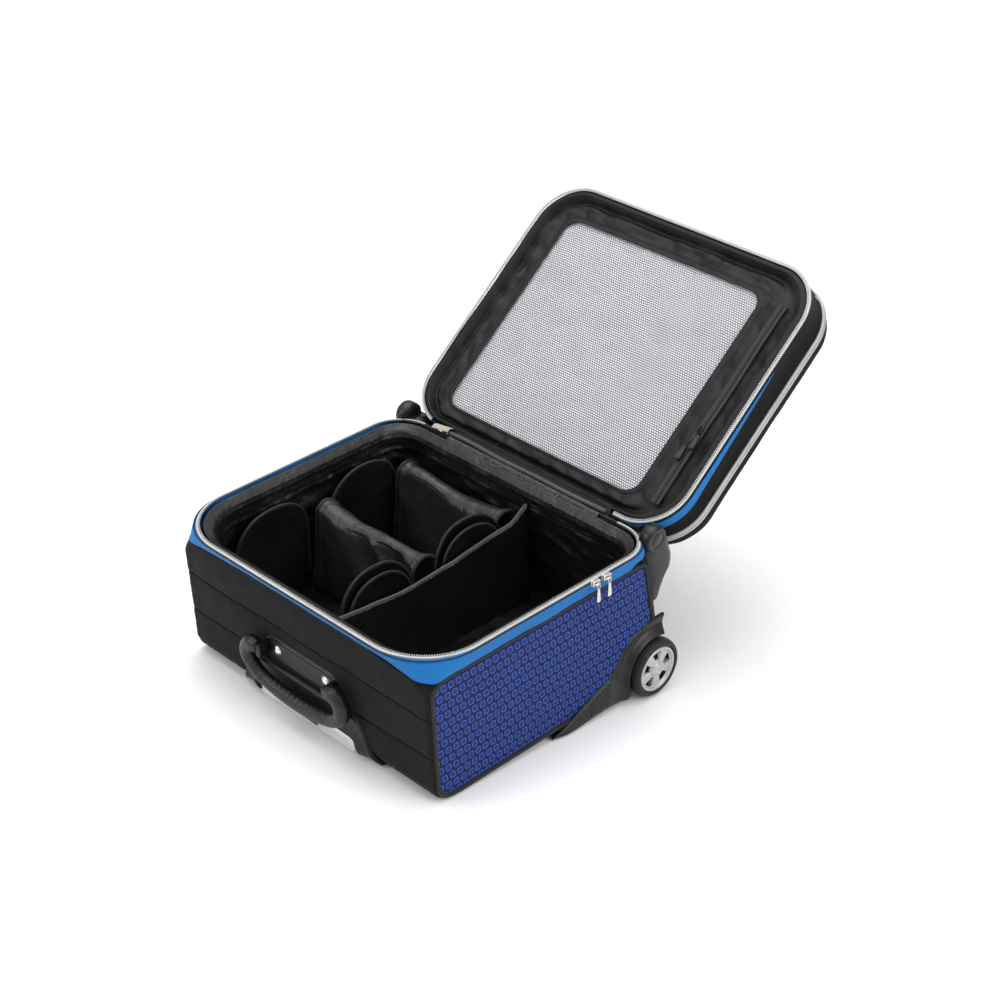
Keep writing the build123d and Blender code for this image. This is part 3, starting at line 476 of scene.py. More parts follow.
def frontLine(z):
    # handle end: leans out with height, rolls under at the back face and flares at the rim
    drop = np.clip(bag["roll"] - z, 0, bag["roll"])
    roll = bag["roll"] - np.sqrt(np.maximum(bag["roll"] ** 2 - drop ** 2, 0))
    flare = -0.0097 * smoothStep(0.168, bag["rimTop"], z)
    return -bag["halfLength"] - 0.0588 * z + roll + flare


def backLine(z):
    # wheel end: leans in with height and comes back out a little to the hinge
    drop = np.clip(bag["roll"] - z, 0, bag["roll"])
    roll = bag["roll"] - np.sqrt(np.maximum(bag["roll"] ** 2 - drop ** 2, 0))
    flare = 0.0064 * smoothStep(0.168, bag["rimTop"], z)
    return bag["halfLength"] - 0.2 * np.minimum(z, 0.172) - roll + flare


def halfWidth(z):
    return bag["halfWidth"] + (bag["rimHalf"] - bag["halfWidth"]) * smoothStep(0.166, bag["rimTop"], z)


def cornerFront(z):
    # tight corners low down that open out to the big corners of the mouth
    reach = np.clip((z - 0.150) / (bag["rimTop"] - 0.150), 0, 1) ** 1.5
    return bag["lowCorner"] + (bag["rimCorner"] - bag["lowCorner"]) * reach


def cornerBack(z):
    reach = np.clip((z - 0.160) / (bag["rimTop"] - 0.160), 0, 1) ** 1.4
    return bag["lowCorner"] + (bag["rearRimCorner"] - bag["lowCorner"]) * reach


loopCounts = {"side": 76, "end": 84, "corner": 22}
loopSize = 2 * (loopCounts["side"] + loopCounts["end"]) + 4 * loopCounts["corner"]


def planLoop(z, inset=0.0, corners=None):
    # closed loop round the bag at each height in z, counter-clockwise from the front right corner:
    # straight sides and quarter-circle corners whose radius changes with height
    z = np.atleast_1d(np.asarray(z, float))[:, None]
    half, front, back = halfWidth(z) - inset, frontLine(z) + inset, backLine(z) - inset
    frontR, backR = corners if corners else (cornerFront(z), cornerBack(z))
    frontR, backR = np.maximum(frontR - inset, 0.002), np.maximum(backR - inset, 0.002)

    def line(count):
        return (np.arange(count) / count)[None, :]

    turn = line(loopCounts["corner"]) * math.pi / 2
    side, end = line(loopCounts["side"]), line(loopCounts["end"])
    parts = [
        (half - frontR + frontR * np.sin(turn), front + frontR - frontR * np.cos(turn)),
        (half + 0 * side, front + frontR + (back - backR - front - frontR) * side),
        (half - backR + backR * np.cos(turn), back - backR + backR * np.sin(turn)),
        ((half - backR) * (1 - 2 * end), back + 0 * end),
        (-half + backR - backR * np.sin(turn), back - backR + backR * np.cos(turn)),
        (-half + 0 * side, back - backR + (front + frontR - back + backR) * side),
        (-half + frontR - frontR * np.cos(turn), front + frontR - frontR * np.sin(turn)),
        ((-half + frontR) * (1 - 2 * end), front + 0 * end),
    ]
    x = np.concatenate([np.broadcast_to(p[0], (z.shape[0], p[0].shape[1])) for p in parts], 1)
    y = np.concatenate([np.broadcast_to(p[1], (z.shape[0], p[1].shape[1])) for p in parts], 1)
    return x, y


loopNames = ["frontRight", "right", "backRight", "back", "backLeft", "left", "frontLeft", "front"]
loopStarts, count = {}, 0
for name in loopNames:
    loopStarts[name] = count
    count += loopCounts["corner" if len(name) > 5 else "side" if name in ("left", "right") else "end"]


def along(points):
    # running length of a line of points, along the last but one axis
    steps = np.linalg.norm(np.diff(points, axis=-2), axis=-1)
    return np.concatenate([np.zeros((*steps.shape[:-1], 1)), np.cumsum(steps, -1)], -1)


def gridUv(points):
    # lengths along the columns and rows of a grid of points, in metres, so that a weave keeps its size
    middleRow, middleColumn = points[points.shape[0] // 2], points[:, points.shape[1] // 2]
    return np.stack(np.meshgrid(along(middleRow), along(middleColumn)), -1)


wrap = {
    "columns": 88,
    "corner": 9,
    "seams": (0.064, 0.118),
    "seamDepth": 0.0016,
    "bulge": 0.0022,
    "wall": 0.002,
}


def bandEdge(x):
    # lower edge of the blue band on the handle end: high in the middle, lower towards the corners
    return 0.1735 - 0.0070 * smoothStep(0.075, 0.205, np.abs(x))


def spacedHeights(low, high, step, finer):
    # heights every step, with extra rows close to each seam
    base = np.arange(low, high, step)
    near = np.array([-0.004, -0.0025, -0.0016, -0.0009, -0.0003, 0.0003, 0.0009, 0.0016, 0.0025, 0.004])
    extra = np.concatenate([near + seam for seam in finer]) if len(finer) else []
    heights = np.unique(np.round(np.concatenate([base, extra, [high]]), 5))
    keep = np.concatenate([[True], np.diff(heights) > 0.0004])
    return heights[keep]


def wrapAcross(z, corner):
    # columns across one row: half a corner arc, the flat, half a corner arc
    turn = np.linspace(math.pi / 2, 0, wrap["corner"], endpoint=False)
    flat = np.linspace(-1, 1, wrap["columns"])
    half = halfWidth(z)
    x = np.concatenate([
        -(half - corner)[:, None] - corner[:, None] * np.sin(turn)[None, :],
        (half - corner)[:, None] * flat[None, :],
        (half - corner)[:, None] + corner[:, None] * np.sin(turn[::-1])[None, :],
    ], 1)
    sunk = np.concatenate([1 - np.cos(turn), np.zeros(len(flat)), 1 - np.cos(turn[::-1])])[None, :] * corner[:, None]
    return x, sunk


def buildWrap():
    seams = wrap["seams"]
    heights = spacedHeights(bag["roll"], 0.176, 0.0035, seams)
    rollTurn = np.linspace(0, math.pi / 2, 9)[1:]
    bottomY = np.linspace(-bag["halfLength"] + bag["roll"], bag["halfLength"] - bag["roll"], 44)[1:-1]
    # front rows run downwards
    frontZ = heights[::-1]
    x, sunk = wrapAcross(frontZ, cornerFront(frontZ))
    top = 0.13 + (frontZ[:, None] - 0.13) * (bandEdge(x) - 0.13) / (0.176 - 0.13)
    z = np.where(frontZ[:, None] > 0.13, top, frontZ[:, None])
    corner = cornerFront(z)
    x, sunk = wrapAcross(z.mean(1), corner.mean(1))
    pad = np.zeros_like(x)
    for low, high in zip((0.0, *seams), (*seams, 0.176)):
        t = np.clip((z - low) / (high - low), 0, 1)
        inside = (z > low) & (z <= high)
        pad += inside * wrap["bulge"] * np.sqrt(np.maximum(np.sin(t * math.pi), 0)) * (1 - (x / 0.215) ** 6)
    groove = sum(np.exp(-((z - seam) / 0.0011) ** 2) for seam in seams) * wrap["seamDepth"]
    ripple = 0.0011 * waveNoise(x, z * 1.6, 0.16, 3) + 0.0004 * waveNoise(x, z, 0.04, 4)
    y = frontLine(z) + sunk - pad + groove - ripple
    front = np.stack([x, y, z], -1)
    # the roll under the handle end, the back and the roll up to the wheels
    low = np.full(1, 0.0)
    flatX, flatSunk = wrapAcross(low, np.full(1, bag["lowCorner"]))
    roll, r = [], bag["roll"]
    for turn in rollTurn:
        normal = np.array([0, -math.cos(turn), -math.sin(turn)])
        centre = np.array([0, -bag["halfLength"] + r, r])
        roll.append((centre + normal * r, normal))
    for place in bottomY:
        roll.append((np.array([0, place, 0]), np.array([0, 0, -1.0])))
    for turn in rollTurn[::-1]:
        normal = np.array([0, math.cos(turn), -math.sin(turn)])
        centre = np.array([0, bag["halfLength"] - r, r])
        roll.append((centre + normal * r, normal))
    under = []
    for place, normal in roll:
        row = place[None, :] - normal[None, :] * flatSunk[0][:, None]
        row[:, 0] = flatX[0]
        under.append(row)
    # wheel end, running upwards
    backZ = spacedHeights(bag["roll"], 0.176, 0.006, (seams[1],))
    xb, sunkB = wrapAcross(backZ, cornerBack(backZ))
    zb = np.broadcast_to(backZ[:, None], xb.shape)
    padB = 0.003 * np.sin(np.clip((zb - 0.02) / 0.155, 0, 1) * math.pi) * (1 - (xb / 0.215) ** 6)
    rippleB = 0.0012 * waveNoise(xb, zb * 1.6, 0.15, 8)
    grooveB = np.exp(-((zb - seams[1]) / 0.0011) ** 2) * wrap["seamDepth"]
    rear = np.stack([xb, backLine(zb) - sunkB + padB + rippleB - grooveB, zb], -1)
    points = np.concatenate([front, np.array(under), rear], 0)
    rows, columns = points.shape[:2]
    faces = np.array(gridFaces(rows, columns))
    centre = points.reshape(-1, 3)[faces].mean(1)
    slotZ = (centre[:, 2] < 0.0265) & (centre[:, 1] < -0.15) & (np.abs(centre[:, 0]) < 0.088)
    inWell = ((np.hypot(centre[:, 1] - wheel["y"], centre[:, 2] - wheel["z"]) < wheel["well"])
              & (np.abs(centre[:, 0]) > 0.2015))
    faces = faces[~(slotZ | inWell)]
    piece = addPiece("bodyWrap", points, faces[:, ::-1].tolist(), finishes["blackCloth"], "case", gridUv(points))
    wall = piece.modifiers.new("wall", "SOLIDIFY")
    wall.thickness = wrap["wall"]
    wall.offset = -1
    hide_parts("top_end_panel", "back_panel", "bottom_end_panel")
    return piece


sidePanel = {"rows": 60, "columns": 110, "bulge": 0.0032, "top": 0.1655}


def sideOutline(z):
    return frontLine(z) + cornerFront(z), backLine(z) - cornerBack(z)


def outlinePath(inset, count=60):
    # closed path round a side panel in the side view, set in from the outline by inset
    z = np.concatenate([np.linspace(0.0, bag["roll"], 14), np.linspace(bag["roll"], sidePanel["top"], count)[1:]])
    front, back = sideOutline(z)
    path = np.concatenate([np.stack([front, z], -1)[::-1], np.stack([back, z], -1)], 0)
    fill = np.linspace(path[-1], path[0], 64)[1:-1]
    bottom = np.linspace(np.array([front[0], 0]), np.array([back[0], 0]), 60)[1:-1]
    half = len(path) // 2
    path = np.concatenate([path[:half], bottom, path[half:], fill], 0)
    for _ in range(3):
        path = (np.roll(path, 1, 0) + 2 * path + np.roll(path, -1, 0)) / 4
    tangent = np.roll(path, -1, 0) - np.roll(path, 1, 0)
    tangent /= np.linalg.norm(tangent, axis=1, keepdims=True) + 1e-9
    return path + inset * np.stack([-tangent[:, 1], tangent[:, 0]], -1)


def buildSides():
    for sideName, side in (("left", -1), ("right", 1)):
        turn = np.linspace(0, math.pi / 2, 16)
        v = np.concatenate([0.022 * (1 - np.cos(turn)), np.linspace(0.022, sidePanel["top"], sidePanel["rows"])[1:]])
        front, back = sideOutline(v)
        u = np.linspace(0, 1, sidePanel["columns"])[None, :]
        y = front[:, None] + u * (back - front)[:, None]
        z = np.broadcast_to(v[:, None], y.shape)
        edge = np.minimum.reduce([
            (y - front[:, None]), (back[:, None] - y), z - 0.0, sidePanel["top"] - z,
        ])
        swell = sidePanel["bulge"] * np.sqrt(np.clip(edge / 0.05, 0, 1)) - 0.0012 * np.exp(-edge / 0.002)
        ripple = 0.0010 * waveNoise(y, z, 0.13, 12 + side) * smoothStep(0, 0.03, edge)
        x = side * (bag["halfWidth"] - 0.0012 + swell + ripple)
        points = np.stack([x, y, z], -1)
        faces = np.array(gridFaces(*points.shape[:2], flip=side < 0))
        centre = points.reshape(-1, 3)[faces].mean(1)
        inWell = np.hypot(centre[:, 1] - wheel["y"], centre[:, 2] - wheel["z"]) < wheel["well"]
        uv = np.stack([y, z], -1)
        piece = addPiece(f"sidePanel.{sideName}", points, faces[~inWell].tolist(), finishes["printedCloth"], "case", uv)
        wall = piece.modifiers.new("wall", "SOLIDIFY")
        wall.thickness = 0.0025
        wall.offset = -1
        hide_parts(f"side_panel_{sideName}")

        path = outlinePath(0.0016)
        keep = np.hypot(path[:, 0] - wheel["y"], path[:, 1] - wheel["z"]) > wheel["well"] - 0.003
        start = np.flatnonzero(~keep)[0]
        path, keep = np.roll(path, -start, 0), np.roll(keep, -start)
        path = path[keep]
        cord = np.stack([np.full(len(path), side * (bag["halfWidth"] - 0.0008)), path[:, 0], path[:, 1]], -1)
        piping = sweepPiece(f"sidePiping.{sideName}", cord, circleProfile(0.0029, 10), finishes["bindingCloth"],
                            "case", up=(1, 0, 0))
        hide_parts(f"piping_{sideName}")


mouth = {
    "bandTop": 0.1896,
}


def bandLow():
    # lower edge of the blue band round the loop: the side panels' top on the sides, the wrap's edge on the ends
    x, y = planLoop(0.176)
    x, y = x[0], y[0]
    onSide = (np.abs(y - frontLine(0.176)) > 0.02)
    low = np.where(onSide, sidePanel["top"] - 0.0015, bandEdge(x) - 0.0015)
    low = np.where(y > 0.12, 0.1725, low)
    for _ in range(10):
        low = (np.roll(low, 1) + 2 * low + np.roll(low, -1)) / 4
    return low


def buildMouth():
    low = bandLow()
    rows = 16
    v = np.linspace(0, 1, rows)
    z = low[None, :] + (mouth["bandTop"] - low)[None, :] * v[:, None]
    points = np.zeros((rows, loopSize, 3))
    levels = np.linspace(0.160, 0.192, 65)
    tableX, tableY = planLoop(levels)
    place = (z - levels[0]) / (levels[1] - levels[0])
    lower = np.clip(np.floor(place).astype(int), 0, len(levels) - 2)
    part = place - lower
    columns = np.arange(loopSize)[None, :]
    for axis, table in ((0, tableX), (1, tableY)):
        points[..., axis] = table[lower, columns] * (1 - part) + table[lower + 1, columns] * part
    points[..., 2] = z
    outward = loopNormals(points[rows // 2])
    swell = 0.0016 * np.sin(v * math.pi)[:, None] + 0.0008 * waveNoise(points[..., 0], points[..., 1], 0.09, 21)
    points += outward[None] * (swell + 0.0006)[..., None]
    band = gridPiece("blueBand", points, finishes["azureCloth"], "case", loopUv(points), wrapColumns=True, thick=0.002)
    # the run behind the hinge is black
    band.data.materials.append(finishes["bindingCloth"])
    column = np.tile(np.arange(loopSize), rows - 1)
    atHinge = (column >= loopStarts["back"] - 3) & (column < loopStarts["backLeft"] + 3)
    band.data.polygons.foreach_set("material_index", atHinge.astype(np.int32))
    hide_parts("zip_gusset")

    # dark welt under the tape
    rim = rimPath(0.1882, 0.0022)
    welt = sweepPiece("bandWelt", rim, circleProfile(0.0009, 8), finishes["bindingCloth"], "case", closed=True)
    path = rimPath(0.1903)
    normals = loopNormals(path)
    ring = openLoop()
    buildZip("mouthZip", path[ring], normals[ring], (0, 0, 1), "case", ["body_zip"], closed=False)


def loopNormals(row):
    tangent = np.roll(row, -1, 0) - np.roll(row, 1, 0)
    tangent[:, 2] = 0
    tangent /= np.linalg.norm(tangent, axis=1, keepdims=True)
    return np.stack([tangent[:, 1], -tangent[:, 0], np.zeros(len(row))], -1)


def loopUv(points):
    closed = np.concatenate([points[points.shape[0] // 2], points[points.shape[0] // 2][:1]], 0)
    u = along(closed)[:-1]
    v = along(points[:, 0])
    return np.stack(np.meshgrid(u, v), -1)


def rimPath(z, outwardBy=0.0):
    # loop at one height, moved out by outwardBy
    x, y = planLoop(min(z, bag["rimTop"]))
    row = np.stack([x[0], y[0], np.full(loopSize, z)], -1)
    return row + loopNormals(row) * outwardBy


def evenPath(path, pitch, closed=True):
    # points at an even pitch along a path, with their directions
    if closed:
        path = np.concatenate([path, path[:1]], 0)
    length = along(path)
    count = int(length[-1] / pitch)
    stations = (np.arange(count) + 0.5) * length[-1] / count
    points = np.stack([np.interp(stations, length, path[:, i]) for i in range(3)], -1)
    ahead = np.stack([np.interp((stations + 0.001) % length[-1], length, path[:, i]) for i in range(3)], -1)
    tangent = ahead - points
    tangent /= np.linalg.norm(tangent, axis=1, keepdims=True)
    return points, tangent


def ringSweep(path, outward, up, profile, closed=False):
    # a profile (outward, up) carried round a path whose outward and up directions are given
    profile = np.asarray(profile, float)
    return (path[:, None, :] + profile[None, :, 0, None] * outward[:, None, :]
            + profile[None, :, 1, None] * np.asarray(up, float)[None, None, :])


def ringPiece(name, path, outward, up, profile, material, body, closed=False, flip=False):
    points = ringSweep(path, outward, up, profile)
    rows, columns = points.shape[:2]
    faces = gridFaces(rows, columns, closed, True, flip=flip)
    if not closed:
        first, last = list(range(columns)), [(rows - 1) * columns + i for i in range(columns)]
        faces += [first, last[::-1]] if flip else [first[::-1], last]
    full = np.concatenate([points, points[:, :1]], 1)
    uv = np.stack(np.broadcast_arrays(along(points[:, 0])[:, None], along(full[0])[None, :-1]), -1)
    return addPiece(name, points, faces, material, body, uv)


zipShape = {
    "tape": [(0.0008, -0.0012), (0.0011, -0.0005), (0.0007, 0.0004), (-0.0003, 0.0008), (-0.0013, 0.0007),
             (-0.0018, 0.0002), (-0.0018, -0.0006), (-0.0010, -0.0006), (-0.0004, -0.0010), (0.0002, -0.0012)],
    "tooth": (0.0014, 0.0022, 0.0018),
    "pitch": 0.0027,
    "toothPlace": (-0.0025, 0.0003),
}


def buildZip(name, path, outward, up, body, nodes, closed=False):
    # woven tape over the edge and metal-look teeth along its inner side
    up = np.asarray(up, float)
    tape = ringPiece(f"{name}Tape", path, outward, up, zipShape["tape"], finishes["silverTape"], body, closed, flip=True)
    line = path + outward * zipShape["toothPlace"][0] + up * zipShape["toothPlace"][1]
    centres, tangents = evenPath(line, zipShape["pitch"], closed)
    tops = np.broadcast_to(up, centres.shape)
    sides = np.cross(tops, tangents)
    teeth = blockPieces(f"{name}Teeth", centres, sides, tops, tangents, zipShape["tooth"], finishes["toothSilver"],
                        body)
    if nodes:
        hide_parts(*nodes)
    return tape


def openLoop(start="backLeft", stop="back"):
    # indices round the mouth from one hinge end to the other, past the handle end
    first, last = loopStarts[start] + 1, loopStarts[stop] + loopSize + 4
    return np.arange(first, last) % loopSize


lidUp = np.array([0, math.cos(hinge["rise"]), math.sin(hinge["rise"])])
lidOut = np.array([0, math.sin(hinge["rise"]), -math.cos(hinge["rise"])])
hingePoint = np.array([0, hinge["y"], hinge["z"]])


def lidPoint(x, u, d):
    x, u, d = np.broadcast_arrays(np.asarray(x, float), np.asarray(u, float), np.asarray(d, float))
    points = hingePoint + u[..., None] * lidUp + d[..., None] * lidOut
    points[..., 0] = x
    return points


def roundLoop(half, low, high, corner, counts=(70, 70, 20)):
    # rounded rectangle from the low right corner counter-clockwise: right, high, left, low sides
    turn = np.arange(counts[2]) / counts[2] * math.pi / 2
    rise, run = np.arange(counts[0]) / counts[0], np.arange(counts[1]) / counts[1]
    half, low, high, corner = (np.atleast_1d(np.asarray(v, float))[:, None] for v in (half, low, high, corner))
    parts = [
        (half - corner + corner * np.sin(turn), low + corner - corner * np.cos(turn)),
        (half + 0 * rise, low + corner + (high - low - 2 * corner) * rise),
        (half - corner + corner * np.cos(turn), high - corner + corner * np.sin(turn)),
        ((half - corner) * (1 - 2 * run), high + 0 * run),
        (-half + corner - corner * np.sin(turn), high - corner + corner * np.cos(turn)),
        (-half + 0 * rise, high - corner - (high - low - 2 * corner) * rise),
        (-half + corner - corner * np.cos(turn), low + corner - corner * np.sin(turn)),
        ((-half + corner) * (1 - 2 * run), low + 0 * run),
    ]
    rows = half.shape[0]
    x = np.concatenate([np.broadcast_to(p[0], (rows, p[0].shape[1])) for p in parts], 1)
    y = np.concatenate([np.broadcast_to(p[1], (rows, p[1].shape[1])) for p in parts], 1)
    return x, y


lidEnd = lid["start"] + lid["length"]
lidCounts = (70, 70, 20)
lidLoopSize = 2 * (lidCounts[0] + lidCounts[1]) + 4 * lidCounts[2]


def lidLoop(inset=0.0, corner=None):
    corner = lid["corner"] - inset if corner is None else corner
    x, u = roundLoop(lid["half"] - inset, lid["start"] + inset, lidEnd - inset, corner, lidCounts)
    return x[0], u[0]


def lidNormals():
    x, u = lidLoop()
    tangent = np.stack([np.roll(x, -1) - np.roll(x, 1), np.roll(u, -1) - np.roll(u, 1)], -1)
    tangent /= np.linalg.norm(tangent, axis=1, keepdims=True)
    nx, nu = tangent[:, 1], -tangent[:, 0]
    return np.stack([nx, nu * lidUp[1], nu * lidUp[2]], -1)


def lidOpen():
    # indices round the lid from one hinge end to the other, past its far end
    straight = lidLoopSize - lidCounts[1]
    return np.arange(-3, straight - 2) % lidLoopSize


def roundedSheet(half, low, high, corner, count=40, power=0.7):
    # square grid (a, b) bent to a rounded rectangle: each square ring becomes a rounded ring of the same size
    side = np.linspace(-1, 1, count * 2 + 1)
    a, b = np.meshgrid(side, side)
    ring = np.maximum(np.abs(a), np.abs(b))
    middle = (low + high) / 2
    halfHigh = (high - low) / 2
    cornerX, cornerY = corner / half, corner / halfHigh
    # where both coordinates are past the start of the corner, pull the point onto the arc
    x, y = a.copy(), b.copy()
    safe = np.maximum(ring, 1e-6)
    ax, by = np.abs(a) / safe, np.abs(b) / safe
    scaled = ring ** power
    px = np.clip((ax - (1 - cornerX)) / cornerX, 0, 1)
    py = np.clip((by - (1 - cornerY)) / cornerY, 0, 1)
    inCorner = (px > 0) & (py > 0)
    reach = np.sqrt(np.maximum(px ** 2 + py ** 2, 1e-9))
    pull = np.where(inCorner, np.maximum(px, py) / reach, 1)
    newX = np.where(inCorner, 1 - cornerX + cornerX * px * pull, ax)
    newY = np.where(inCorner, 1 - cornerY + cornerY * py * pull, by)
    blend = scaled
    x = np.sign(a) * ring * (ax * (1 - blend) + newX * blend)
    y = np.sign(b) * ring * (by * (1 - blend) + newY * blend)
    return x * half, middle + y * halfHigh, ring


stripe = {"from": 0.0095, "width": 0.021, "length": 0.20}


def buildLid():
    outward, up = lidNormals(), -lidOut
    x, u = lidLoop()
    openRing = lidOpen()
    rim = lidPoint(x, u, 0.0017)
    buildZip("lidZip", rim[openRing], outward[openRing], up, "lid", ["lid_zip"])

    # gusset between the two zips, slightly hollow, with soft waves
    rows = 22
    depth = np.linspace(0.0060, lid["gusset"] - 0.001, rows)[:, None]
    hollow = -0.0026 * np.sin((depth - 0.006) / (lid["gusset"] - 0.006) * math.pi)
    wave = 0.0009 * waveNoise(x[None, :] + u[None, :], depth * 3, 0.12, 31)
    ring = lidPoint(x[None, :], u[None, :], depth) + outward[None] * (hollow + wave - 0.0008)[..., None]
    gusset = gridPiece("lidGusset", ring, finishes["blackCloth"], "lid", loopUv(ring), wrapColumns=True, flip=True,
                       thick=0.002)
    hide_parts("lid_gusset")

    # tapering blue stripes round the two lower corners
    for sideName in ("right", "left"):
        if sideName == "right":
            picked = np.arange(-14, lidCounts[2] + 52) % lidLoopSize
        else:
            straight = lidLoopSize - lidCounts[1]
            picked = np.arange(straight + 14, straight - lidCounts[2] - 52, -1) % lidLoopSize
        t = np.linspace(0, 1, len(picked))
        width = stripe["width"] * smoothStep(0, 0.22, t) * (1 - t) ** 0.8 + 0.0004
        v = np.linspace(0, 1, 9)[:, None]
        depth = stripe["from"] + 0.002 * (1 - smoothStep(0, 0.15, t)) + width * v
        hollow = -0.0026 * np.sin((depth - 0.006) / (lid["gusset"] - 0.006) * math.pi)
        points = lidPoint(x[picked][None, :], u[picked][None, :], depth)
        points = points + outward[picked][None] * (hollow + 0.0009)[..., None]
        piece = gridPiece(f"lidStripe.{sideName}", points, finishes["azureCloth"], "lid", gridUv(points),
                          flip=sideName == "right", thick=0.0012)
        if sideName == "right":
            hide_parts("lid_stripes")
    print("lid gusset done")

    # outer pocket: double zip, then a padded panel with rolled edges
    zipDepth = lid["gusset"] + 0.0005
    pocketRim = lidPoint(x, u, zipDepth)
    tape = [(0.0018, 0.0012), (0.0022, -0.0005), (0.0018, -0.0034), (-0.0006, -0.0034), (-0.0006, 0.0012)]
    upper = ringPiece("pocketTapeUpper", pocketRim[openRing], outward[openRing], up, tape,
                      finishes["silverTape"], "lid")
    lowerRim = lidPoint(x, u, zipDepth + 0.0040)
    lower = ringPiece("pocketTapeLower", lowerRim[openRing], outward[openRing], up, tape,
                      finishes["silverTape"], "pocket_flap")
    line = lidPoint(x, u, zipDepth + 0.0036) + outward * 0.0018
    centres, tangents = evenPath(line[openRing], zipShape["pitch"], False)
    tops = np.broadcast_to(up, centres.shape)
    sides = np.cross(tops, tangents)
    teeth = blockPieces("pocketTeeth", centres, sides, tops, tangents, (0.0016, 0.0016, 0.0034),
                        finishes["toothSilver"], "lid")
    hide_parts("pocket_zip_upper")
    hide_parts("pocket_zip_lower")
    buildPocketPanel()
    buildLidInside()


pocket = {"edge": 0.016, "dome": 0.004, "start": 0.0535}


def buildPocketPanel():
    # rings from the zip line inwards: up the wall, round a quarter circle, then across a slightly domed back
    deepest = lid["gusset"] + 0.0073 + lid["pocket"]
    edge = pocket["edge"]
    wall = np.linspace(0, 1, 7)[:-1]
    turn = np.linspace(0, math.pi / 2, 9)
    inset = np.concatenate([0 * wall, edge * (1 - np.cos(turn)), edge + np.array([0.004, 0.010, 0.018, 0.026])])
    depth = np.concatenate([pocket["start"] + (deepest - edge - pocket["start"]) * wall,
                            deepest - edge + edge * np.sin(turn), np.full(4, deepest)])
    x, u = roundLoop(lid["half"] - 0.0008 - inset, lid["start"] + 0.0008 + inset, lidEnd - 0.0008 - inset,
                     np.maximum(lid["corner"] - inset, 0.02), lidCounts)
    bulge = 0.0018 * waveNoise(x + u, u - x, 0.15, 43) * smoothStep(0, 0.01, depth - pocket["start"])[:, None]
    groove = 0.0014 * np.exp(-((inset - edge - 0.004) / 0.0012) ** 2)[:, None]
    points = lidPoint(x, u, depth[:, None] - groove + bulge)
    wallPiece = gridPiece("pocketEdge", points, finishes["blackCloth"], "pocket_flap", loopUv(points),
                          wrapColumns=True, flip=True, thick=0.003)
    # back of the pocket: a rounded sheet that meets the last ring
    last = inset[-1]
    xs, us, ring = roundedSheet(lid["half"] - last - 0.0008, lid["start"] + last + 0.0008, lidEnd - last - 0.0008,
                                lid["corner"] - last, 50)
    dome = pocket["dome"] * (1 - ring ** 2) + 0.0018 * waveNoise(xs + us, us - xs, 0.15, 43)
    back = lidPoint(xs, us, deepest + dome)
    backPiece = gridPiece("pocketBack", back, finishes["blackCloth"], "pocket_flap", np.stack([xs, us], -1),
                          flip=True, thick=0.003)
    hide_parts("pocket_panel")


window = {"half": 0.158, "low": 0.034, "high": 0.322, "corner": 0.020, "shift": -0.009}


def buildLidInside():
    # black inner facing between the zip and the mesh window, with a shallow trough and sewn hems
    rows = 40
    v = np.linspace(0, 1, rows)[:, None]
    outer = lidLoop(0.0050)
    innerX, innerU = roundLoop(window["half"], window["low"], window["high"], window["corner"], lidCounts)
    innerX = innerX + window["shift"]
    x = outer[0][None, :] * (1 - v) + innerX * v
    u = outer[1][None, :] * (1 - v) + innerU * v
    trough = 0.0075 * np.exp(-((v - 0.30) / 0.11) ** 2)
    trough = trough * (1 - 0.75 * smoothStep(0.15, 0.19, x))
    hem = -0.0012 * smoothStep(0.86, 0.9, v) + 0.0010 * np.exp(-((v - 0.84) / 0.02) ** 2)
    welt = -0.0016 * np.exp(-((v - 0.10) / 0.035) ** 2)
    crumple = 0.0044 * creaseNoise(x, u, 0.07, 51) + 0.0018 * waveNoise(x * 0.3 + u, u * 0.3 - x, 0.035, 52)
    byZip = np.exp(-((x - meshZip["x"]) / 0.014) ** 2)
    depth = 0.0022 + 0.0016 * smoothStep(0.5, 1, v) + trough + hem + welt
    depth = np.maximum(depth + (crumple - 0.001) * np.sin(v * math.pi) * (1 - 0.8 * byZip), 0.0010 + 0.0006 * byZip)
    points = lidPoint(x, u, depth)
    # the facing's cloth is darkened past the bag's black as painted shade
    facing = gridPiece("lidFacing", points, finishes["facingCloth"], "lid", np.stack([x, u], -1), wrapColumns=True,
                       thick=0.0012)
    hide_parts("mesh_frame")

    # pale lining behind the net, and the net itself, both swollen a little from behind
    xs, us, ring = roundedSheet(window["half"] + 0.004, window["low"] - 0.004, window["high"] + 0.004,
                                window["corner"] + 0.004, 60)
    xs = xs + window["shift"]
    swell = (1 - ring ** 4)
    folds = 0.0020 * creaseNoise(xs, us, 0.11, 61) + 0.0012 * waveNoise(xs, us, 0.05, 62)
    net = 0.0036 - 0.0052 * swell + folds * swell * 0.9
    piece = gridPiece("meshNet", lidPoint(xs, us, net), finishes["net"], "lid", np.stack([xs, us], -1))
    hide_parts("mesh_net")
    backing = net + 0.0032 + 0.0008 * creaseNoise(xs, us, 0.035, 63)
    piece = gridPiece("meshBacking", lidPoint(xs, us, backing), finishes["paleNylon"], "lid",
                      np.stack([xs, us], -1), thick=0.001)
    buildMeshZip()


meshZip = {"x": 0.1825, "tape": 0.013}


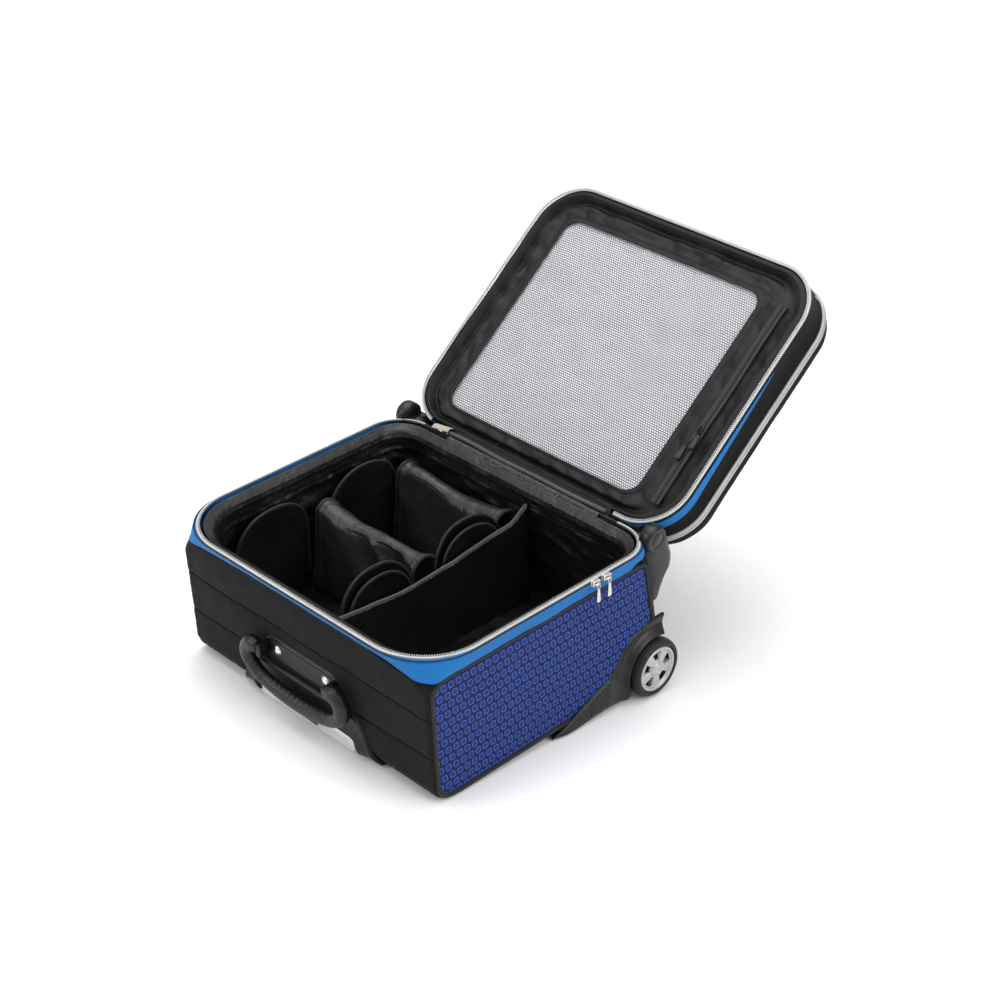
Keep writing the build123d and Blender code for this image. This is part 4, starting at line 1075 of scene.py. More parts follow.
def buildMeshZip():
    # black coil zip beside the window: raised tape edges and a fine double coil
    u = np.linspace(window["low"] + 0.002, window["high"] - 0.002, 150)
    path = lidPoint(np.full(len(u), meshZip["x"]), u, -0.0002 + 0.0008 * np.sin(u * 40))
    half = meshZip["tape"] / 2
    profile = [(-half, -0.0012), (-half, 0.0004), (-half + 0.003, 0.0006), (-0.0022, 0.0004), (0.0022, 0.0004),
               (half - 0.003, 0.0006), (half, 0.0004), (half, -0.0012)]
    tape = sweepPiece("meshZipTape", path, profile[::-1], finishes["blackTape"], "lid", up=-lidOut)
    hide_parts("mesh_zip")
    centres, tangents = evenPath(path - lidOut * 0.0008, 0.0016, False)
    tops = np.broadcast_to(-lidOut, centres.shape)
    sides = np.cross(tops, tangents)
    coil = blockPieces("meshZipCoil", centres, sides, tops, tangents, (0.0010, 0.0044, 0.0014),
                       finishes["blackTape"], "lid")


tub = {
    "floor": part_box("lining")[0].z + 0.002,
    "low": (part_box("lining")[0].y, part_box("lining")[1].y),
    "half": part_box("back_board")[1].x + 0.005,
    "corner": 0.050,
    "top": 0.1885,
}


def buildLining():
    # walls: loops that shrink and tighten on the way down, with piped seams near the rim and soft creases
    rows = 72
    v = np.linspace(0, 1, rows) ** 1.15
    z = tub["top"] + (tub["floor"] - tub["top"]) * v
    inset = 0.0075 + 0.0035 * smoothStep(0, 0.05, v) + 0.004 * v
    corners = (np.maximum(0.080 - 0.040 * smoothStep(0, 0.8, v), 0.03)[:, None],
               np.maximum(bag["rearRimCorner"] - 0.006 - 0.016 * smoothStep(0, 0.8, v), 0.03)[:, None])
    zc = np.clip(z, 0.022, 0.192)
    x, y = planLoop(zc, inset[:, None], corners)
    points = np.stack([x, y, np.broadcast_to(z[:, None], x.shape)], -1)
    outward = loopNormals(points[rows // 2])
    s = along(np.concatenate([points[10], points[10][:1]], 0))[:-1][None, :]
    depth = tub["top"] - z[:, None]
    welts = sum(0.0016 * np.exp(-((depth - place) / 0.0018) ** 2) for place in (0.014, 0.030))
    padding = 0.0025 * np.sin(np.clip(depth / 0.014, 0, 1) * math.pi)
    crease = 0.0042 * creaseNoise(s, depth * 1.1, 0.085, 71) * smoothStep(0.02, 0.05, depth)
    ripple = 0.0012 * waveNoise(s, depth * 2, 0.035, 72) * smoothStep(0.006, 0.03, depth)
    points = points - outward[None] * (welts + padding + crease + ripple)[..., None]
    walls = gridPiece("liningWalls", points, finishes["nylon"], "case", loopUv(points), wrapColumns=True, thick=0.001)
    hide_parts("lining")

    count = 50
    frontY, backY = points[-1, :, 1].min(), points[-1, :, 1].max()
    xs, ys, ring = roundedSheet(np.abs(points[-1, :, 0]).max() + 0.003, frontY - 0.003, backY + 0.003, 0.04, count)
    zs = tub["floor"] + 0.0010 + 0.0022 * creaseNoise(xs, ys, 0.12, 73) * (1 - ring ** 6)
    floor = gridPiece("liningFloor", np.stack([xs, ys, zs], -1), finishes["nylon"], "case", np.stack([xs, ys], -1),
                      thick=0.001)


saddle = {"crown": 0.013, "base": 0.0225, "collar": 0.011, "wall": 0.0016, "rim": 0.0024}


def buildSaddles():
    for name, seed in (("saddle_divider_middle", 81), ("saddle_divider_back", 91)):
        low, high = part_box(name)
        row, bottom, top = (low.y + high.y) / 2, low.z, high.z
        stations = np.linspace(low.x, high.x, 110)
        t = (stations - low.x) / (high.x - low.x)
        # section: up one side, over the round crown and down the other; q runs -1 to 1
        q = np.linspace(-1, 1, 61)
        side = np.abs(q)
        arc = np.clip(side / 0.36, 0, 1) * math.pi / 2
        fall = np.clip((side - 0.36) / 0.64, 0, 1)
        across = np.sign(q) * np.where(side < 0.36, np.sin(arc), 1.0)
        down = np.where(side < 0.36, 1 - np.cos(arc), 1.0)
        crown = saddle["crown"] * (1 + 0.10 * np.sin(t * 7 + seed) + 0.16 * smoothStep(0.85, 1, t))
        spread = (saddle["base"] - crown)[:, None] * (fall ** 1.15)[None, :]
        y = row + across[None, :] * crown[:, None] + np.sign(q)[None, :] * spread
        sag = 0.0045 * np.sin(t * math.pi) + 0.002 * np.sin(t * 2.7 * math.pi + seed)
        height = top - sag
        z = height[:, None] - down[None, :] * crown[:, None] \
            - fall[None, :] * (height[:, None] - crown[:, None] - bottom)
        x = np.broadcast_to(stations[:, None], y.shape)
        # long folds that run down from the crown, and a pulled crease across the right-hand third
        fade = smoothStep(0.05, 0.25, side)[None, :] * (1 - smoothStep(0.94, 1, side))[None, :]
        folds = 0.0040 * creaseNoise(x + z * 0.8, z * 0.35, 0.13, seed) + 0.0006 * waveNoise(x, z, 0.05, seed + 1)
        pull = 0.0050 * np.exp(-((t[:, None] - 0.72 - 0.10 * fall[None, :]) / 0.03) ** 2)
        dent = -0.0040 * np.exp(-((t[:, None] - 0.80 - 0.16 * fall[None, :]) / 0.05) ** 2)
        out = (folds - 0.0015 + (pull + dent) * np.sin(np.clip(fall * 1.3 + 0.12, 0, 1) * math.pi)[None, :]) * fade
        collars = 0.0022 * (smoothStep(0.0, 0.006, stations - low.x) * (1 - smoothStep(saddle["collar"] - 0.001,
                            saddle["collar"], stations - low.x)))
        collars += 0.0016 * smoothStep(high.x - saddle["collar"], high.x - saddle["collar"] + 0.0012, stations)
        y = y + np.sign(q)[None, :] * (out + collars[:, None]) * (1 - 0.6 * (side < 0.2))[None, :]
        z = z + (collars[:, None] + 0.0006 * waveNoise(x, y, 0.05, seed + 2)) * (side < 0.5)[None, :]
        points = np.stack([x, y, z], -1)
        # the saddle cloth is the lightened nylon, its lightness a painted sheen
        piece = gridPiece(f"{name}.cloth", points, finishes["saddleNylon"], "case", gridUv(points), flip=True,
                          thick=saddle["wall"])
        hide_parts(name)
        for end, station in (("left", 1), ("right", -2)):
            line = points[station][2:-2]
            rim = sweepPiece(f"{name}.rim.{end}", line, circleProfile(saddle["rim"], 8), finishes["bindingCloth"],
                             "case", up=(1, 0, 0))


sleeve = {"layerGap": 0.0062, "wall": 0.0014, "piping": 0.0019, "step": 0.007}


def buildSleeves():
    for sideName, side in (("left", -1), ("right", 1)):
        for rowName in ("front", "back"):
            name = f"bowl_sleeve_{sideName}_{rowName}"
            low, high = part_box(name)
            seed = 100 + 10 * side + (rowName == "back") * 3
            middleY, bottom, top = (low.y + high.y) / 2, low.z, high.z
            for layer in range(2):
                radius = (high.y - low.y) / 2 - layer * sleeve["step"]
                place = (low.x + high.x) / 2 + (0.5 - layer) * sleeve["layerGap"] * (1 if side < 0 else -1)
                # fan of rows: each row is one share of the way from the foot to the round top edge
                a = np.linspace(-1, 1, 70)
                v = np.linspace(0, 1, 34)
                peak = top - layer * sleeve["step"] * 1.2
                arch = np.sqrt(np.maximum(1 - np.abs(a) ** 2.3, 0)) ** 1.0
                archZ = peak - radius + radius * arch
                y = middleY + a[None, :] * radius * (1 - 0.0 * v[:, None])
                z = bottom + (archZ[None, :] - bottom) * v[:, None]
                lean = -0.007 * side * smoothStep(0.45, 1, v)[:, None] * (1 - layer * 0.4) * arch[None, :]
                wave = 0.0022 * waveNoise(y, z, 0.11, seed + layer) * (1 - 0.5 * v[:, None])
                points = np.stack([place + lean + wave, y, z], -1)
                piece = gridPiece(f"{name}.layer{layer + 1}", points, finishes["nylon"], "case", gridUv(points),
                                  thick=sleeve["wall"])
                if layer == 0:
                    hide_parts(name)
                edge = np.concatenate([points[10:-1, 0][::1], points[-1], points[10:-1, -1][::-1]], 0)
                keep = np.concatenate([[True], np.linalg.norm(np.diff(edge, axis=0), axis=1) > 0.0006])
                edge = edge[keep]
                for _ in range(4):
                    edge[1:-1] = (edge[:-2] + 2 * edge[1:-1] + edge[2:]) / 4
                bead = sweepPiece(f"{name}.piping{layer + 1}", edge, circleProfile(sleeve["piping"], 8),
                                  finishes["bindingCloth"], "case", up=(1, 0, 0))


def buildShoeDivider():
    # thin stiffened sheet with a bound top edge that sags between its ends
    low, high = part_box("shoe_divider")
    u, v = np.meshgrid(np.linspace(0, 1, 110), np.linspace(0, 1, 36))
    y = low.y + (high.y - low.y) * u
    sag = 0.011 * np.sin(u * math.pi) ** 1.2 - 0.014 * smoothStep(0.9, 1, u)
    z = low.z + (high.z - sag - low.z) * v
    x = (low.x + high.x) / 2 + (0.0045 * np.sin(u * 5.2 + 0.5) + 0.0016 * waveNoise(y, z, 0.12, 121)) * v ** 0.7
    points = np.stack([x, y, z], -1)
    piece = gridPiece("shoeDivider", points, finishes["nylon"], "case", gridUv(points), flip=True, thick=0.0022)
    edge = points[-1] - np.array([0.001, 0, 0])
    bead = sweepPiece("shoeDividerEdge", edge, circleProfile(0.0018, 8), finishes["greyBinding"], "case",
                      up=(1, 0, 0))
    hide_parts("shoe_divider")


def buildHinge():
    # grey binding on the hinge line, the fabric hinge itself, and the crumpled facing in front of it
    low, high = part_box("hinge_binding")
    path = np.stack([np.linspace(low.x, high.x, 80), np.full(80, hinge["y"]),
                     hinge["z"] + 0.0006 * np.sin(np.linspace(0, 9, 80))], -1)
    path[:, 1] += 0.0008 * np.sin(np.linspace(0, 14, 80))
    binding = sweepPiece("hingeBinding", path, circleProfile(0.0027, 12), finishes["greyBinding"], "case")
    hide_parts("hinge_binding")

    x = np.linspace(low.x - 0.004, high.x + 0.004, 90)[None, :]
    v = np.linspace(0, 1, 20)[:, None]
    bodySide = np.array([0, hinge["y"] - 0.006, hinge["z"] - 0.008])
    lidSide = hingePoint + lidUp * 0.012 + lidOut * 0.0035
    # under the binding: a quadratic curve from the body's rim to the lid's edge
    under = hingePoint + np.array([0, 0.0035, -0.0055])
    curve = ((1 - v) ** 2)[..., None] * bodySide + (2 * v * (1 - v))[..., None] * under + (v ** 2)[..., None] * lidSide
    points = np.broadcast_to(curve, (20, 90, 3)).copy()
    points[..., 0] = x
    tape = gridPiece("hingeTape", points, finishes["facingCloth"], None, gridUv(points), flip=True, thick=0.0012)
    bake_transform(tape)

    u = np.linspace(0, 1, 120)[None, :]
    v = np.linspace(0, 1, 26)[:, None]
    x = (low.x + 0.004) * (1 - u) + (high.x - 0.004) * u + 0 * v
    crumple = creaseNoise(x * 1.2, v * 0.07, 0.035, 131)
    y = hinge["y"] - 0.0042 - 0.016 * v + 0.0035 * (crumple - 0.5) * np.sin(v * math.pi)
    z = hinge["z"] - 0.001 - 0.026 * v ** 1.4 + 0.0036 * crumple * np.sin(v * math.pi) + 0 * x
    points = np.stack([x, y + 0 * x, z], -1)
    # the facing uses the same lightened nylon with its painted sheen
    facing = gridPiece("hingeFacing", points, finishes["saddleNylon"], "case", gridUv(points), flip=True,
                       thick=0.001)


def buildZipTab():
    # cream end tab of the main zip at the left end of the hinge
    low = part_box("hinge_binding")[0]
    u, v = np.meshgrid(np.linspace(0, 1, 20), np.linspace(0, 1, 14))
    x = low.x - 0.024 + 0.026 * u
    y = hinge["y"] - 0.008 + 0.012 * v + 0.003 * u
    z = hinge["z"] + 0.0018 + 0.0026 * np.sin(v * math.pi) + 0.002 * u
    points = np.stack([x, y, z], -1)
    tab = gridPiece("zipEndTab", points, finishes["creamTape"], "case", gridUv(points), thick=0.0012)


def smoothCurve(points, rounds=4, closed=False):
    # corner cutting: each round replaces a corner by two points a quarter of the way along its runs
    points = np.asarray(points, float)
    for _ in range(rounds):
        ahead = np.roll(points, -1, 0) if closed else points[1:]
        here = points if closed else points[:-1]
        first, second = 0.75 * here + 0.25 * ahead, 0.25 * here + 0.75 * ahead
        cut = np.stack([first, second], 1).reshape(-1, points.shape[1])
        points = cut if closed else np.concatenate([points[:1], cut, points[-1:]], 0)
    return points


def resample(points, count):
    length = along(points)
    stations = np.linspace(0, length[-1], count)
    return np.stack([np.interp(stations, length, points[:, i]) for i in range(points.shape[1])], -1)


def lathePoints(profile, centre, side=1, steps=96):
    # profile (radius, place along X) turned about the X direction through centre
    profile = np.asarray(profile, float)
    angle = np.arange(steps) / steps * math.tau
    x = centre[0] + side * profile[:, 1][:, None] + 0 * angle[None, :]
    y = centre[1] + profile[:, 0][:, None] * np.cos(angle)[None, :]
    z = centre[2] + profile[:, 0][:, None] * np.sin(angle)[None, :]
    return np.stack([x, y, z], -1)


def lathePiece(name, profile, centre, material, body, side=1, steps=96, closed=True):
    points = lathePoints(profile, centre, side, steps)
    faces = gridFaces(*points.shape[:2], closed, True, flip=side < 0)
    return addPiece(name, points, faces, material, body, gridUv(points))


def slabPoints(half, low, high, corner, base, height, edge, dish=0.0):
    # rounded slab in its own (across, up, out) coordinates: side wall, rolled edge and a flat or dished face
    turn = np.linspace(0, math.pi / 2, 6)
    inset = np.concatenate([[0.0], edge * (1 - np.cos(turn))])
    out = np.concatenate([[base], height - edge + edge * np.sin(turn)])
    x, v = roundLoop(half - inset, low + inset, high - inset, np.maximum(corner - inset, 0.0004), (14, 24, 8))
    wall = np.stack([x, v, np.broadcast_to(out[:, None], x.shape)], -1)
    shrink = np.linspace(1, 0, 12)[1:-1]
    middle = np.array([0, (low + high) / 2, height])
    top = middle + (wall[-1][None] - middle) * shrink[:, None, None]
    top[..., 2] = height - dish * (1 - shrink ** 2)[:, None]
    centre = np.broadcast_to(middle - np.array([0, 0, dish]), (1, wall.shape[1], 3))
    bottom = np.broadcast_to(np.array([0, (low + high) / 2, base]), (1, wall.shape[1], 3))
    return np.concatenate([bottom, wall, top, centre], 0)


def slabPiece(name, shape, place, material, body, flip=False):
    points = slabPoints(**shape)
    world = place(points[..., 0], points[..., 1], points[..., 2])
    uv = points[..., :2]
    piece = addPiece(name, world, gridFaces(*world.shape[:2], False, True, flip=flip), material, body, uv)
    weld(piece)
    return piece


def weld(piece, distance=0.00002, recalculate=True):
    # close poles and seams: points at one place become one point
    mesh = bmesh.new()
    mesh.from_mesh(piece.data)
    bmesh.ops.remove_doubles(mesh, verts=mesh.verts, dist=distance)
    if recalculate:
        bmesh.ops.recalc_face_normals(mesh, faces=mesh.faces)
    mesh.to_mesh(piece.data)
    mesh.free()


lean = 0.0588


def endPoint(x, v, w):
    # point on the handle end: x across, v up along the panel, w out of it
    x, v, w = np.broadcast_arrays(np.asarray(x, float), np.asarray(v, float), np.asarray(w, float))
    return np.stack([x, -bag["halfLength"] - lean * v - w, v - lean * w], -1)


handle = {
    "pivotHeight": 0.082,
    "plateHeight": 0.087,
    "standoff": joints["carry_handle_swivel"]["pos_m"][1],
    "grip": 0.0092,
    "link": 0.0106,
    "joints": (0.175, 0.28, 0.72, 0.825),
}


def buildCarryHandle():
    standoff = -handle["standoff"] - bag["halfLength"] - lean * handle["pivotHeight"]
    half = [(0.0625, 0.0905), (0.0735, 0.0905), (0.0825, 0.0800), (0.0815, 0.0640), (0.0650, 0.0495),
            (0.0340, 0.0425), (0.0, 0.0405)]
    route = np.array(half + [(-x, v) for x, v in half[-2::-1]])
    route = resample(smoothCurve(route, 4), 180)
    path = endPoint(route[:, 0], route[:, 1], standoff)
    t = np.linspace(0, 1, len(path))
    fromEnd = np.minimum(t, 1 - t)
    radius = handle["grip"] + (handle["link"] - handle["grip"]) * (1 - smoothStep(0.10, 0.24, fromEnd))
    radius = radius * (0.86 + 0.14 * smoothStep(-0.005, 0.03, fromEnd))
    radius += 0.0006 * np.exp(-((t - 0.5) / 0.13) ** 2)
    for joint in handle["joints"]:
        radius -= 0.0011 * np.exp(-((t - joint) / 0.0035) ** 2)
    profile = circleProfile(1.0, 22, 0.86)
    points = sweepPoints(path, profile, up=(0, -1, 0), scale=radius)
    rows, columns = points.shape[:2]
    # thumb-side flutes under the grip
    angle = np.arange(columns) / columns * math.tau
    ridges = 0.0005 * np.maximum(np.sin(t * 190), 0)[:, None] * (fromEnd > 0.3)[:, None] * (np.cos(angle) < -0.5)
    side = frames(path, up=(0, -1, 0))[1]
    points = points + side[:, None, :] * ridges[..., None]
    caps = []
    for end, inward in ((0, 1), (rows - 1, -1)):
        ringNow = points[end]
        middle = ringNow.mean(0)
        tangent = (path[end] - path[end + inward])
        tangent /= np.linalg.norm(tangent)
        rings = [middle + (ringNow - middle) * k + tangent * radius[end] * h
                 for k, h in ((0.96, 0.14), (0.84, 0.26), (0.6, 0.32), (0.0, 0.34))]
        caps.append(np.array(rings))
    allPoints = np.concatenate([caps[0][::-1], points, caps[1]], 0)
    piece = addPiece("carryHandle.grip", allPoints, gridFaces(len(allPoints), columns, False, True),
                     finishes["gripMoulding"], "carry_handle", gridUv(allPoints))
    weld(piece)
    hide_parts("carry_handle")

    # plate with rounded ends, a second raised tier, and the two pivot brackets
    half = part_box("handle_plate")[1].x
    v = handle["plateHeight"]
    base = slabPiece("handlePlate", {"half": half, "low": v - 0.016, "high": v + 0.016, "corner": 0.0155,
                                     "base": -0.001, "height": 0.0036, "edge": 0.0020, "dish": 0.0005},
                     endPoint, finishes["gripMoulding"], "case", flip=True)
    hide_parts("handle_plate")
    tier = slabPiece("handlePlateTier", {"half": half - 0.006, "low": v - 0.0105, "high": v + 0.0105,
                                         "corner": 0.0100, "base": 0.002, "height": 0.0044, "edge": 0.0009,
                                         "dish": 0.0003}, endPoint, finishes["moulding"], "case", flip=True)
    for side in (-1, 1):
        def bracket(a, b, c, side=side):
            return endPoint(side * 0.0575 + a, v + b, c)
        piece = slabPiece(f"handleBracket.{'left' if side < 0 else 'right'}",
                          {"half": 0.0044, "low": -0.0085, "high": 0.0085, "corner": 0.0035, "base": 0.002,
                           "height": standoff + 0.005, "edge": 0.0025}, bracket, finishes["moulding"], "case",
                          flip=True)

        def rivet(a, b, c, side=side):
            return endPoint(side * 0.042 + a, v + b, c)
        turn = np.linspace(0, math.pi / 2, 9)
        radius = 0.0056 * np.cos(turn)
        rise = 0.0044 + 0.0026 * np.sin(turn)
        profile = np.concatenate([[(0, 0.0038), (0.0064, 0.0038), (0.0062, 0.0047)], np.stack([radius, rise], -1)], 0)
        angle = np.arange(32) / 32 * math.tau
        points = rivet(profile[:, 0][:, None] * np.cos(angle), profile[:, 0][:, None] * np.sin(angle),
                       profile[:, 1][:, None] + 0 * angle)
        piece = addPiece(f"handleRivet.{'left' if side < 0 else 'right'}", points,
                         gridFaces(len(profile), 32, False, True, flip=True), finishes["steel"], "case",
                         gridUv(points))
        weld(piece)
        if side < 0:
            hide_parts("handle_rivets")


def buildBezel():
    # moulded arch: an inner line round the grip's slot and an outer S curve, joined by a rounded flange
    outerHalf = [(0.1225, 0.0050), (0.1160, 0.0090), (0.1090, 0.0220), (0.1030, 0.0410), (0.0925, 0.0595),
                 (0.0740, 0.0620), (0.0, 0.0620)]
    innerHalf = [(0.0868, 0.0040), (0.0868, 0.0160), (0.0860, 0.0285), (0.0700, 0.0290), (0.0, 0.0290)]

    def arch(half):
        route = np.array(half + [(-x, v) for x, v in half[-2::-1]])
        return resample(smoothCurve(route, 4), 220)

    outer, inner = arch(outerHalf), arch(innerHalf)
    share = np.array([0.0, 0.0, 0.0, 0.02, 0.06, 0.14, 0.3, 0.5, 0.68, 0.8, 0.88, 0.94, 0.98, 1.0, 1.0])
    height = np.array([-0.030, -0.010, 0.0060, 0.0080, 0.0085, 0.0082, 0.0070, 0.0058, 0.0052, 0.0056, 0.0062,
                       0.0060, 0.0044, 0.0012, -0.0015])
    x = inner[None, :, 0] * (1 - share[:, None]) + outer[None, :, 0] * share[:, None]
    v = inner[None, :, 1] * (1 - share[:, None]) + outer[None, :, 1] * share[:, None]
    w = np.broadcast_to(height[:, None], x.shape)
    points = endPoint(x, v, w)
    # low down the flange follows the roll of the bag
    rolled = frontLine(np.maximum(v, 0.0)) + bag["halfLength"] + lean * v
    points[..., 1] += np.where(v < bag["roll"], rolled, 0) * (0.8 + 0.2 * smoothStep(0.02, 0.3, share))[:, None]
    piece = gridPiece("gripBezel", points, finishes["moulding"], "case", gridUv(points), flip=True, thick=0.0012)
    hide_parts("grip_bezel")


def buildTrolleyGrip():
    # satin grip: a rounded section carried across the bag, with a parting groove and pinched ends
    low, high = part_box("trolley_grip")
    angle = np.arange(48) / 48 * math.tau
    power = 0.42
    halfY, halfZ = (high.y - low.y) / 2, (high.z - low.z) / 2 + 0.0008
    sy = np.sign(np.cos(angle)) * np.abs(np.cos(angle)) ** power * halfY
    sz = np.sign(np.sin(angle)) * np.abs(np.sin(angle)) ** power * halfZ
    t = np.linspace(-1, 1, 90)
    x = t * high.x
    fromEnd = (1 - np.abs(t)) * high.x
    shrink = np.sqrt(np.clip(fromEnd / 0.006, 0, 1) * (2 - np.clip(fromEnd / 0.006, 0, 1)))
    size = 0.55 + 0.45 * shrink
    size[[0, -1]] = 0.0
    middleY, middleZ = (low.y + high.y) / 2, (low.z + high.z) / 2
    groove = 0.0009 * np.exp(-((sz[None, :] + 0.0045) / 0.0007) ** 2) * (sy[None, :] < 0)
    y = middleY + sy[None, :] * size[:, None] + groove
    z = middleZ + sz[None, :] * size[:, None]
    points = np.stack([np.broadcast_to(x[:, None], y.shape), y, z], -1)
    piece = addPiece("trolleyGrip", points, gridFaces(90, 48, False, True), finishes["satinSilver"],
                     "trolley_grip", gridUv(points))
    weld(piece)
    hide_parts("trolley_grip")


hub = {"radius": 0.0298, "rim": 0.0245, "cap": 0.0092, "windows": 5, "windowLow": 0.0118, "windowHigh": 0.0232,
       "recess": 0.0085}


def buildWheels():
    width = wheel["outer"] - wheel["inner"]
    for sideName, side in (("left", -1), ("right", 1)):
        centre = (side * wheel["inner"], wheel["y"], wheel["z"])
        radius = wheel["radius"]
        turn = np.linspace(-math.pi / 2, math.pi / 2, 25)
        tread = np.stack([radius - 0.0062 + 0.0062 * np.cos(turn) ** 0.75,
                          width / 2 + (width / 2 - 0.0004) * np.sin(turn) ** 1.0], -1)
        grooves = 0.0007 * (np.exp(-((tread[:, 1] - 0.0065) / 0.0005) ** 2)
                            + np.exp(-((tread[:, 1] - width + 0.0065) / 0.0005) ** 2))
        tread[:, 0] -= grooves
        profile = np.concatenate([[(hub["radius"], 0.0022), (hub["radius"] + 0.0012, 0.0008)], tread,
                                  [(hub["radius"] + 0.0012, width - 0.0008), (hub["radius"], width - 0.0022)]], 0)
        tyre = lathePiece(f"tyre.{sideName}", profile, centre, finishes["rubber"], f"wheel_{sideName}", side, 128)
        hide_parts(f"tyre_{sideName}")

        # hub face on a polar grid: thick rim, five sunk windows, a ring groove and a low cap
        r = np.concatenate([[0.0], np.linspace(0.002, hub["radius"] + 0.0004, 76)])[:, None]
        angle = np.arange(300)[None, :] / 300 * math.tau
        place = width - 0.0034
        rimRise = 0.0022 * smoothStep(hub["rim"], hub["rim"] + 0.0012, r) * (1 - smoothStep(0.0285, 0.0300, r))
        local = (angle / math.tau * hub["windows"] + 0.25) % 1 - 0.5
        halfAngle = (0.0034 + 0.0036 * (r - hub["windowLow"]) / (hub["windowHigh"] - hub["windowLow"])) \
            / np.maximum(r, 0.004)
        across = np.abs(local) * math.tau / hub["windows"]
        inWindow = (smoothStep(hub["windowLow"] - 0.0004, hub["windowLow"] + 0.0004, r)
                    * (1 - smoothStep(hub["windowHigh"] - 0.0004, hub["windowHigh"] + 0.0004, r))
                    * (1 - smoothStep(halfAngle - 0.02, halfAngle + 0.02, across)))
        capRise = 0.0018 * (1 - smoothStep(hub["cap"] - 0.0006, hub["cap"] + 0.0002, r)) \
            - 0.0008 * np.exp(-((r - hub["cap"] * 0.72) / 0.0005) ** 2) + 0.0006 * (1 - (r / hub["cap"]) ** 2) * (r < hub["cap"])
        bow = 0.0012 * np.exp(-((r - 0.012) / 0.006) ** 2)
        height = place + rimRise + capRise + bow - hub["recess"] * inWindow
        x = centre[0] + side * height
        points = np.stack([x, centre[1] + r * np.cos(angle), centre[2] + r * np.sin(angle)], -1)
        faces = np.array(gridFaces(*points.shape[:2], False, True, flip=side > 0))
        depth = (np.abs(points[..., 0]).ravel()[faces].mean(1) - wheel["inner"]) - place
        face = addPiece(f"wheelHub.{sideName}", points, faces.tolist(), finishes["silverPaint"],
                        f"wheel_{sideName}", np.stack([r * np.cos(angle), r * np.sin(angle)], -1))
        # faces sunk deep in the windows take the dark moulding: painted shade in the window recesses
        face.data.materials.append(finishes["moulding"])
        face.data.polygons.foreach_set("material_index", (depth < -0.0035).astype(np.int32))
        weld(face, recalculate=False)
        inner = lathePiece(f"wheelHubBack.{sideName}", [(0.0, 0.003), (0.004, 0.002), (0.012, 0.002), (0.014, 0.004),
                           (0.024, 0.004), (0.026, 0.002), (hub["radius"], 0.002), (hub["radius"], 0.016),
                           (0.0285, 0.0165), (0.0275, 0.0070), (0.0, 0.0060)], centre, finishes["silverPaint"], f"wheel_{sideName}",
                           side, 64, closed=False)
        weld(inner)
        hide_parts(f"wheel_hub_{sideName}", f"hub_cap_{sideName}")


fender = {
    "top": [(-162, -25), (-130, -13), (-101, 0), (-84, 7), (-68, 11), (-60, 22), (-50, 38), (-34, 51), (-14, 57),
            (6, 60), (26, 61)],
    "low": [(-162, -25), (-150, -27), (-125, -29), (-100, -27), (-76, -27), (-58, -28), (-41, -29)],
    "arch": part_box("tyre_right")[1].z - joints["wheel_right_spin"]["pos_m"][2] + 0.004,
    "ribs": 7,
}


